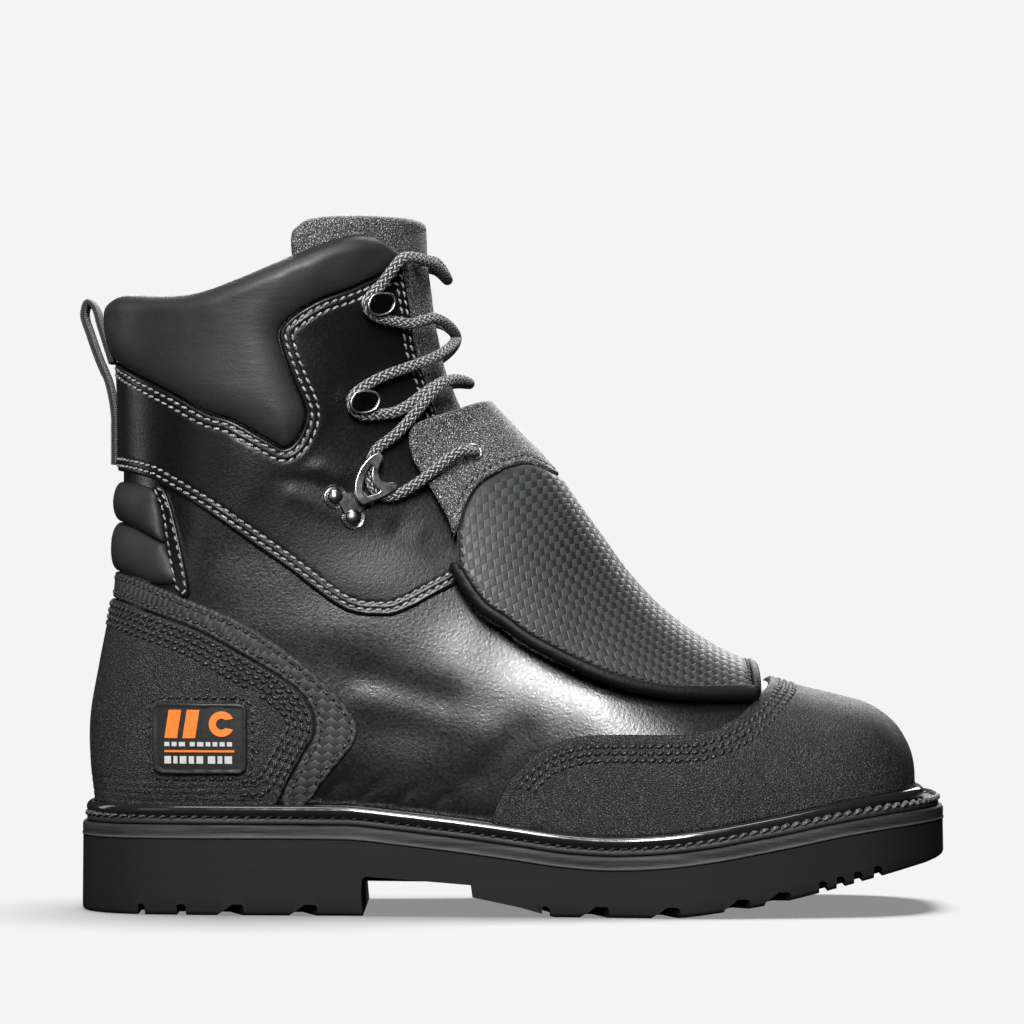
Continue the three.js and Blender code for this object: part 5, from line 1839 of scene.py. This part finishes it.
def make_outsole():
    points, faces = slab(outsole_levels())
    piece = new_object("outsole_rubber", points, outward(points, faces), sole_rubber)
    cutters = [arch_form()]
    cutters += [inner_groove_form(*groove, side) for groove in INNER_GROOVES for side in (-1, 1)]
    cutters += [edge_groove_form(*groove, side) for groove in GROOVES for side in (-1, 1)]
    carve(piece, cutters)
    sharpen(piece)
    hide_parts("outsole")


def make_waist_plate():
    back = BREAST - 1
    front = float(along(43.6)) - 1
    top = ARCH_TOP + 0.6
    outline = [(back, ARCH_TOP - 3.1), (front, ARCH_TOP - 3.5), (front, top), (back, top)]
    points, faces = extruded(outline, -WAIST_PLATE / 2, WAIST_PLATE / 2)
    waist = new_object("waist_plate", points, faces, welt_rubber, smooth=False)


def ring_sweep(name, loop, corners, material, node):
    """Closed ring round the foot. Its section gives distances out from the loop and heights."""
    way = unit((np.roll(loop, -1, axis=0) - np.roll(loop, 1, axis=0)) * [1, 1, 0])
    out = np.stack([-way[:, 1], way[:, 0], np.zeros(len(loop))], 1)
    rings = []
    for distance, height in corners:
        grown = distance(loop[:, 0]) if callable(distance) else distance
        q = loop + out * np.reshape(grown, (-1, 1))
        rings.append(np.stack([q[:, 0], q[:, 1], height(q[:, 0])], 1))
    sides = len(rings)
    points = np.stack(rings, axis=1).reshape(-1, 3)
    i = np.arange(len(loop))[:, None]
    j = np.arange(sides)[None]
    n = (i + 1) % len(loop)
    m = (j + 1) % sides
    quads = np.broadcast_arrays(i * sides + j, n * sides + j, n * sides + m, i * sides + m)
    faces = outward(points, np.stack(quads, -1).reshape(-1, 4).tolist())
    lengths = running_length(loop)
    uv = np.stack(np.broadcast_arrays(lengths[:, None], 1.0 * j), -1).reshape(-1, 2)
    piece = new_object(name, points, faces, material, uv=uv)
    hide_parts(node)


def make_midsole():
    """Slab with a bulged wall and a paler lip along its foot."""
    profile = [
        (0.6, 0.02), (0.1, 0.0), (-0.2, 0.05), (-0.25, 0.11), (-0.12, 0.17), (0.0, 0.2),
        (0.02, 0.4), (-0.05, 0.6),
        (0.0, 0.8), (0.2, 0.93), (0.5, 1.0), (1.2, 1.02),
    ]

    def height(rise):
        return lambda x: midsole_bottom(x) + rise * (MIDSOLE - 0.1)

    points, faces = slab([(sole_reach(inset + 0.1), height(rise)) for inset, rise in profile])
    lip = {"lip": np.repeat([1.0 if rise < 0.18 else 0.0 for _, rise in profile], len(feather))}
    piece = new_object("midsole_edge", points, outward(points, faces), midsole_rubber, attributes=lip)
    sharpen(piece, 50)
    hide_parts("midsole")


def make_welt():
    clear = 4 * GAP

    def low(x):
        return sole_top(x) + GAP

    def ledge(inset):
        return lambda x: reach(x) - WELT_INSET - clear - inset

    section = [
        (clear, low), (ledge(0), low), (ledge(-0.2), lambda x: low(x) + 0.5),
        (ledge(-0.2), lambda x: welt_top(x) - 0.6), (ledge(0.5), welt_top),
        (ledge(1.2), lambda x: welt_top(x) - 0.25), (clear, welt_top),
    ]
    loop = feather_loop(welt_top)
    ring_sweep("welt_ledge", loop, section, welt_rubber, "welt")
    row = plan_loop(ledge(0.45), lambda x: welt_top(x) + 0.05, loop)
    row = np.concatenate([row, row[:1]])
    way = unit(np.gradient(row, axis=0))
    out = np.stack([-way[:, 1], way[:, 0], 0 * way[:, 0]], 1) * outward_turn(row)
    tilt = unit(0.75 * out + [0, 0, 0.8])
    stitches("welt_stitches", [(row, tilt)], pitch=3.9, length=4.3, width=1.8, height=0.95, slant=0.35,
             seed=17, material=welt_thread_painted_lighter)


def outward_turn(row):
    """1 where the left of a plan loop is its outside, else -1."""
    area = 0.5 * np.sum(row[:-1, 0] * row[1:, 1] - row[1:, 0] * row[:-1, 1])
    return -np.sign(area)


def make_rand():
    def middle(x):
        return welt_top(x) + GAP + RAND_RADIUS

    sides = 20
    corners = []
    for k in range(sides):
        a = 2 * PI * k / sides
        distance = RAND_RADIUS * (1 + math.cos(a)) + 4 * GAP
        corners.append((distance, lambda x, a=a: middle(x) + RAND_RADIUS * math.sin(a)))
    ring_sweep("rand_bead", feather_loop(middle), corners, rand_gloss, "rand")


make_outsole()
make_waist_plate()
make_midsole()
make_welt()
make_rand()


# Hardware

def revolve(profile, sides=28):
    """Closed form turned round the z axis from a profile of radius and height."""
    points = []
    for r, z in profile:
        for k in range(sides):
            a = 2 * PI * k / sides
            points.append((r * math.cos(a), r * math.sin(a), z))
    faces = tube_faces(len(profile), sides)
    if profile[0] != profile[-1]:
        faces += end_faces(len(profile), sides)
    return np.array(points), faces


def plate_form(outline, thickness, base, holes=(), bevel=0.35):
    """Flat plate with rounded edges, from a smooth outline and smooth holes."""
    curve = bpy.data.curves.new("plate", "CURVE")
    curve.dimensions = "2D"
    curve.fill_mode = "BOTH"
    curve.extrude = thickness / 2 - bevel
    curve.bevel_depth = bevel
    curve.bevel_resolution = 3
    curve.offset = -bevel
    for line in (outline, *holes):
        points = smooth_curve(line, closed=True, steps=6)
        spline = curve.splines.new("POLY")
        spline.points.add(len(points) - 1)
        rows = np.column_stack([points, np.zeros(len(points)), np.ones(len(points))])
        spline.points.foreach_set("co", rows.ravel())
        spline.use_cyclic_u = True
    thing = into_scene("plate", curve)
    graph = bpy.context.evaluated_depsgraph_get()
    mesh = bpy.data.meshes.new_from_object(thing.evaluated_get(graph))
    co = np.empty(len(mesh.vertices) * 3)
    mesh.vertices.foreach_get("co", co)
    faces = [list(p.vertices) for p in mesh.polygons]
    bpy.data.objects.remove(thing)
    bpy.data.meshes.remove(mesh)
    bpy.data.curves.remove(curve)
    points = co.reshape(-1, 3)
    points[:, 2] += base + thickness / 2
    return points, faces


def rivet_head(radius, base, height):
    profile = [
        (radius + 1.2, base), (radius + 1.25, base + 0.5), (radius + 1.0, base + 0.9),
        (radius + 0.5, base + 0.7),
        (radius + 0.1, base + 0.5), (radius, base + 0.9),
    ]
    for k in range(1, 7):
        a = PI / 2 * k / 6
        profile.append((max(radius * math.cos(a), 0.05), base + 0.9 + height * math.sin(a)))
    return revolve(profile)


HOOK_PLATE = [
    (6.2, 0.6), (5.0, 3.4), (0.8, 4.3), (-3.6, 3.4), (-5.6, 0.0), (-4.4, -3.2), (-0.4, -4.2), (4.2, -2.8),
]


def shrunk(outline, share):
    return [(x * share, y * share) for x, y in outline]


def hook_form():
    """Speed hook: base, neck and the rim of its rounded plate."""
    base = revolve([(4.4, 0.05), (4.4, 0.7), (4.0, 1.1), (1.6, 1.2), (0.9, 1.5), (0.05, 1.5)])
    stem = [(1.3, 0.8), (1.15, 2.4), (1.15, PLATE_RISE - 1.4), (1.5, PLATE_RISE - 0.2)]
    neck, neck_faces = revolve(stem, 14)
    neck = neck * [1.0, 0.7, 1.0] + [2.2, 0, 0]
    rim = plate_form(HOOK_PLATE, PLATE + 0.3, PLATE_RISE - 0.1, [shrunk(HOOK_PLATE, 0.84)], 0.4)
    return joined([base, (neck, neck_faces), rim])


def plate_face_painted_dark():
    """Face inside the rim of a speed hook, in a darker metal that is a painted reflection of the dark room.
    """
    return plate_form(shrunk(HOOK_PLATE, 0.86), PLATE - 0.3, PLATE_RISE, bevel=0.3)


def lock_form(spots):
    """Locking hook: two rivets on a forked base, and a curved open triangle over the lace."""
    rise = PLATE_RISE - HOOK_BASE
    outline = [
        (7.0, -1.9), (6.2, 0.1), (3.6, 0.0), (1.2, 1.0), (0.2, 3.6), (1.0, 6.6), (2.0, 9.0), (0.6, 10.6),
        (-2.4, 9.6), (-5.6, 6.4), (-7.9, 2.2), (-8.8, -2.4), (-8.0, -6.2), (-5.6, -8.4),
        (-2.0, -7.2), (2.6, -5.2),
    ]
    hole = [
        (-2.4, 5.4), (-4.6, 2.2), (-5.6, -2.0), (-5.0, -5.0), (-2.6, -4.8), (0.4, -3.4),
        (-1.6, -1.2), (-2.6, 2.0),
    ]
    parts = [plate_form(outline, PLATE, rise, [hole], 0.5)]
    for spot in spots:
        points, faces = rivet_head(RIVET, 0.1, 2.0)
        parts.append((points + spot, faces))
    back, low = spots
    web = [
        (back[0] - 1.5, back[1] + 1), (back[0] + 1, back[1] - 2.4), (low[0] - 1, low[1] - 2),
        (low[0] + 1.6, low[1] + 0.6), (-3.4, -8.0), (-6.2, -4.2),
    ]
    parts.append(plate_form(web, 0.8, 0.7, bevel=0.3))
    post = [(-3.0, -8.2), (-6.4, -5.2), (-6.0, -3.0), (-2.4, -6.0)]
    parts.append(plate_form(post, rise - 0.6, 0.9, bevel=0.3))
    return joined(parts)


def put_metal(name, form, axes, origin, node, mirror=1, finish=None):
    points, faces = form
    points = points * [1, mirror, 1]
    if mirror < 0:
        faces = [face[::-1] for face in faces]
    points = origin + points @ axes
    piece = new_object(name, points, faces, finish or hook_metal)
    sharpen(piece, 40)
    if node:
        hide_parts(node)
    else:
        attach(piece, "root")


def make_speed_hooks(suffix, turned):
    for name in ("top", "mid"):
        at = frame_at(turned(seats[name]), QUARTER_LIFT)
        node = f"hook_{name}_{suffix}"
        # The rim gets the metal painted lighter, as its painted highlight, and the face the one painted
        # darker, as its painted dark reflection.
        put_metal(f"speed_hook_{name}_{suffix}", hook_form(), *at, node, finish=ring_metal_painted_light)
        put_metal(f"hook_face_{name}_{suffix}", plate_face_painted_dark(), *at, None, finish=face_metal_painted_dark)


def make_lock_hook(suffix, turned, upright):
    axes, origin = frame_at(turned(seats["nose"]), QUARTER_LIFT)
    spots = []
    for key in ("back", "low"):
        place = skin(*turned(seats[key]), QUARTER_LIFT)
        spots.append((axes @ (place - origin)) * [1, upright, 1])
    put_metal(f"locking_hook_{suffix}", lock_form(spots), axes, origin, f"lock_hook_{suffix}", upright)


def make_eyelet(suffix, turned):
    b, r, h = EYELET_BORE + 0.1, EYELET_RADIUS + 0.3, EYELET_HEIGHT
    profile = [
        (b, -1.2), (b, 0.6 * h), (b + 0.2, 1.1 * h), (b + 0.55, 1.3 * h), (r - 0.5, 1.15 * h),
        (r - 0.1, 0.7 * h), (r, 0.1), (b + 0.4, -0.1), (b + 0.4, -1.2), (b, -1.2),
    ]
    at = frame_at(turned(seats["eyelet"]), guard_stand)
    # The eyelet's ring takes the metal painted lighter, as painted highlight.
    put_metal(f"eyelet_ring_{suffix}", revolve(profile), *at, f"eyelet_{suffix}", finish=ring_metal_painted_light)


def make_hardware():
    for suffix, turned, upright in (("outer", lambda seat: seat, 1), ("inner", mirrored, -1)):
        make_speed_hooks(suffix, turned)
        make_lock_hook(suffix, turned, upright)
        make_eyelet(suffix, turned)


make_hardware()


# Badge, with plain marks of its own

def make_badge():
    (x0, z1), (x1, z0) = side_view(BADGE_CORNERS)
    radius = 2.6
    corners = []
    for cx, cz, start in ((x1 - radius, z1 - radius, 0), (x0 + radius, z1 - radius, 90),
                          (x0 + radius, z0 + radius, 180), (x1 - radius, z0 + radius, 270)):
        for step in range(0, 91, 15):
            a = math.radians(start + step)
            corners.append((cx + radius * math.cos(a), cz + radius * math.sin(a)))
    t = even_steps(10, 20, 90, (PI / 2, PI))
    turn = even_turns(0.4 * PI, 0.95 * PI, 90, 17.0)
    patch = Patch(t, turn, [Inside(np.array(corners))], [0.3, 0.8, 1.6, 2.2, 3.0])
    base = OVERLAY + GAP
    border = round_over(patch.edge, 0.5) * (1 - 0.2 * smooth_step(patch.edge, 1.0, 1.5))
    outer = base + 0.1 + BADGE * border
    shell("badge_plate", patch, outer, base - 0.3 + 0 * outer, badge_rubber, "badge")
    frame_patch = Patch(t, turn, [Inside(np.array(corners), -3.0)], [1.2])
    rows = seam(frame_patch, np.full(len(frame_patch.t), base + 0.05), (1.2,))
    stitches("badge_stitches", rows, length=2.4, width=0.9, height=0.4, seed=16, material=dark_thread)
    make_badge_marks(x0, x1, z0, z1, base + 0.1 + BADGE * 0.8)


def make_badge_marks(x0, x1, z0, z1, lift):
    """Plain marks: two slanted orange blocks, an open ring, a thin line and rows of small bars."""
    t, turn = np.meshgrid(np.linspace(13, 20, 60), np.linspace(0.4 * PI, 0.9 * PI, 60), indexing="ij")
    p = skin(t.ravel(), turn.ravel(), np.full(t.size, lift))
    p = p[(p[:, 0] > x0 - 2) & (p[:, 0] < x1 + 2) & (p[:, 2] > z0 - 2) & (p[:, 2] < z1 + 2)]

    def terms(x, z):
        x = (x - x0) / 30
        z = (z - z0) / 30
        return np.stack([np.ones_like(x), x, z, x * x, x * z, z * z, x ** 3, x * x * z], axis=-1)

    fit = np.linalg.lstsq(terms(p[:, 0], p[:, 2]), p[:, 1], rcond=None)[0]

    def raised(shape, height=0.35):
        shape = np.asarray(shape, float)
        y = terms(shape[:, 0], shape[:, 1]) @ fit
        top = np.stack([shape[:, 0], y - height, shape[:, 1]], 1)
        low = np.stack([shape[:, 0], y + 0.5, shape[:, 1]], 1)
        points = np.concatenate([top, low])
        return points, outward(points, prism_faces(len(shape)))

    def box(ax, az, bx, bz, lean=0.0):
        return [(ax, az), (bx, az), (bx + lean, bz), (ax + lean, bz)]

    width, height = x1 - x0, z1 - z0
    left = x0 + 0.10 * width
    right = x0 + 0.86 * width
    mark_low, mark_high = z0 + 0.50 * height, z0 + 0.90 * height
    ring_outer, ring_inner = 4.6, 2.0
    ring_x, ring_z = right - ring_outer, (mark_low + mark_high) / 2
    arcs = ((ring_outer, 0.45, 2 * PI - 0.45, 30), (ring_inner, 2 * PI - 0.8, 0.8, 18))
    ring = []
    for radius, start, end, count in arcs:
        for a in np.linspace(start, end, count):
            ring.append((ring_x + radius * math.cos(a), ring_z + radius * math.sin(a)))
    orange = [
        raised(box(left, mark_low, left + 4.6, mark_high, 1.6)),
        raised(box(left + 6.6, mark_low, left + 11.2, mark_high, 1.6)),
        raised(ring),
    ]
    step = (right - left) / 8
    line_low, line_high = z0 + 0.30 * height, z0 + 0.33 * height
    for k in range(8):
        orange.append(raised(box(left + k * step, line_low, left + (k + 1) * step, line_high), 0.4))
    white = []
    for low, high, widths in (
        (0.385, 0.445, (1.5, 1.5, 1.9, 0.0, 1.5, 1.9, 1.4, 1.4, 1.5, 1.5)),
        (0.14, 0.245, (2.0, 1.2, 2.0, 1.6, 2.0, 0.0, 2.2, 1.4, 2.2)),
    ):
        step = (right - left) / sum(w + 0.7 for w in widths)
        x = left
        for w in widths:
            if w:
                white.append(raised(box(x, z0 + low * height, x + w * step, z0 + high * height), 0.25))
            x += (w + 0.7) * step
    for name, shapes, finish in (("badge_marks", orange, badge_orange), ("badge_bars", white, badge_white)):
        points, faces = joined(shapes)
        new_object(name, points, faces, finish, smooth=False)


make_badge()


# Pull loop

def band(name, line, width, thickness, material, lift=0.0):
    """Webbing along a line in the middle plane."""
    way = unit(np.gradient(line, axis=0))
    out = np.stack([-way[:, 2], np.zeros(len(line)), way[:, 0]], 1)
    sides = 24
    profile = []
    for k in range(sides):
        a = 2 * PI * k / sides
        c, s = math.cos(a), math.sin(a)
        aside = math.copysign(abs(c) ** 0.25, c) * width / 2
        profile.append((aside, math.copysign(abs(s) ** 0.7, s) * thickness / 2))
    profile = np.array(profile)
    points = (line[:, None] + profile[None, :, 0, None] * np.array([0.0, 1.0, 0.0])
              + (profile[None, :, 1, None] + lift) * out[:, None]).reshape(-1, 3)
    faces = tube_faces(len(line), sides) + end_faces(len(line), sides)
    lengths = running_length(line)
    uv = np.stack(np.broadcast_arrays(profile[None, :, 0], lengths[:, None]), -1).reshape(-1, 2)
    piece = new_object(name, points, outward(points, faces), material, uv=uv)
    return piece


def make_pull_loop():
    strip = []
    for t in (21.52, 21.7, 21.88, 22.06):
        p = skin(t, PI, QUARTER_LIFT + WEBBING / 2)
        strip.append((p[0], 0.0, p[2]))
    loop = side_view(LOOP)
    points = strip + [(x, 0.0, z) for x, z in loop]
    line = resample(centripetal(points, 12), step=0.8)
    piece = band("pull_loop_webbing", line, WEBBING_WIDTH, WEBBING, webbing)
    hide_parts("pull_loop")
    band_foot, band_top = up(77.5), up(87.2)
    limb = line[(line[:, 2] > band_foot) & (line[:, 2] < band_top)]
    limb = limb[:np.argmax(limb[:, 2]) + 1]
    band("pull_loop_stripe", limb, 0.62 * WEBBING_WIDTH, 0.5, webbing_band, lift=WEBBING / 2 + 0.1)


make_pull_loop()


# What stays as the part's solids gets its finish here

def dress(node, material):
    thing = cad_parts[node]
    thing.data.materials.clear()
    thing.data.materials.append(material)


dress("insole", lining_cloth)


# Floor, light and background: strengths of the background, the floor's own colour and glow

BACKGROUND = 0.905
FLOOR_ALBEDO = 0.82
AMBIENT = 0.02
FLOOR_GLOW = 0.26


def light_only(light, thing, state):
    """Limits a light to one object, or keeps it off that object."""
    group = bpy.data.collections.new(f"{light.name}_{state.lower()}")
    group.objects.link(thing)
    group.collection_objects[0].light_linking.link_state = state
    light.light_linking.receiver_collection = group


def make_floor():
    size = 12.0
    mesh = bpy.data.meshes.new("floor")
    corners = [(-size, -size, 0), (size, -size, 0), (size, size, 0), (-size, size, 0)]
    mesh.from_pydata(corners, [], [(0, 1, 2, 3)])
    floor = into_scene("floor", mesh)
    n = Nodes("floor")
    mesh.materials.append(n.finish(
        (FLOOR_ALBEDO, FLOOR_ALBEDO, FLOOR_ALBEDO, 1), 1.0, None, Specular_IOR_Level=0.0,
        Emission_Color=(1, 1, 1, 1), Emission_Strength=FLOOR_GLOW))
    floor.visible_diffuse = False
    floor.visible_glossy = False
    return floor


def make_world():
    """Even background for the camera, and a faint light from all round."""
    world = bpy.data.worlds.new("studio")
    bpy.context.scene.world = world
    world.use_nodes = True
    tree = world.node_tree
    background = tree.nodes["Background"]
    path = tree.nodes.new("ShaderNodeLightPath")
    mix = tree.nodes.new("ShaderNodeMix")
    mix.data_type = "FLOAT"
    mix.inputs[2].default_value = AMBIENT
    mix.inputs[3].default_value = BACKGROUND
    tree.links.new(path.outputs["Is Camera Ray"], mix.inputs[0])
    tree.links.new(mix.outputs[0], background.inputs["Strength"])
    background.inputs["Color"].default_value = (1, 1, 1, 1)


def light_floor(floor):
    """Soft light for the floor alone, which brings it up to the background."""
    sun = bpy.data.lights.new("floor_sky", "SUN")
    tilt = (math.radians(-6), math.radians(3))
    level = math.cos(tilt[0]) * math.cos(tilt[1])
    sun.energy = ((BACKGROUND - FLOOR_GLOW) / FLOOR_ALBEDO - AMBIENT) * PI / level
    sun.angle = math.radians(26)
    thing = into_scene("floor_sky", sun)
    thing.rotation_euler = (*tilt, 0)
    light_only(thing, floor, "INCLUDE")


def area_light(name, place, target, size, power, floor):
    data = bpy.data.lights.new(name, "AREA")
    data.shape = "RECTANGLE"
    data.size, data.size_y = size
    data.energy = power
    light = into_scene(name, data)
    way = np.array(place, float) - np.array(target, float)
    side = unit(np.cross([0, 0, 1], way))
    rotation = Matrix(np.stack([side, unit(np.cross(way, side)), unit(way)], axis=1)).to_4x4()
    rotation.translation = place
    light.matrix_world = rotation
    light_only(light, floor, "EXCLUDE")


def make_lights(floor):
    """Each light has a place, an aim, a size in metres and a power in watts."""
    area_light("key", (0.03, -1.36, 0.86), (0.1, 0, 0.12), (0.26, 0.80), 36, floor)
    area_light("inner_fill", (0.3, 1.6, 0.75), (0.1, 0, 0.1), (1.2, 0.7), 16, floor)
    area_light("overhead", (0.0, -0.55, 1.35), (0.1, 0, 0.12), (0.9, 0.3), 7, floor)
    area_light("fill", (-0.9, -1.3, 0.50), (0.0, 0, 0.1), (0.5, 0.9), 1.2, floor)
    area_light("left_rim", (-1.2, 0.25, 0.55), (0.0, 0, 0.12), (0.35, 1.0), 3, floor)
    area_light("top_back", (0.15, 0.75, 1.2), (0.1, 0, 0.1), (0.9, 0.3), 9, floor)


floor = make_floor()
make_world()
light_floor(floor)
make_lights(floor)
bpy.context.scene.view_settings.view_transform = "Standard"
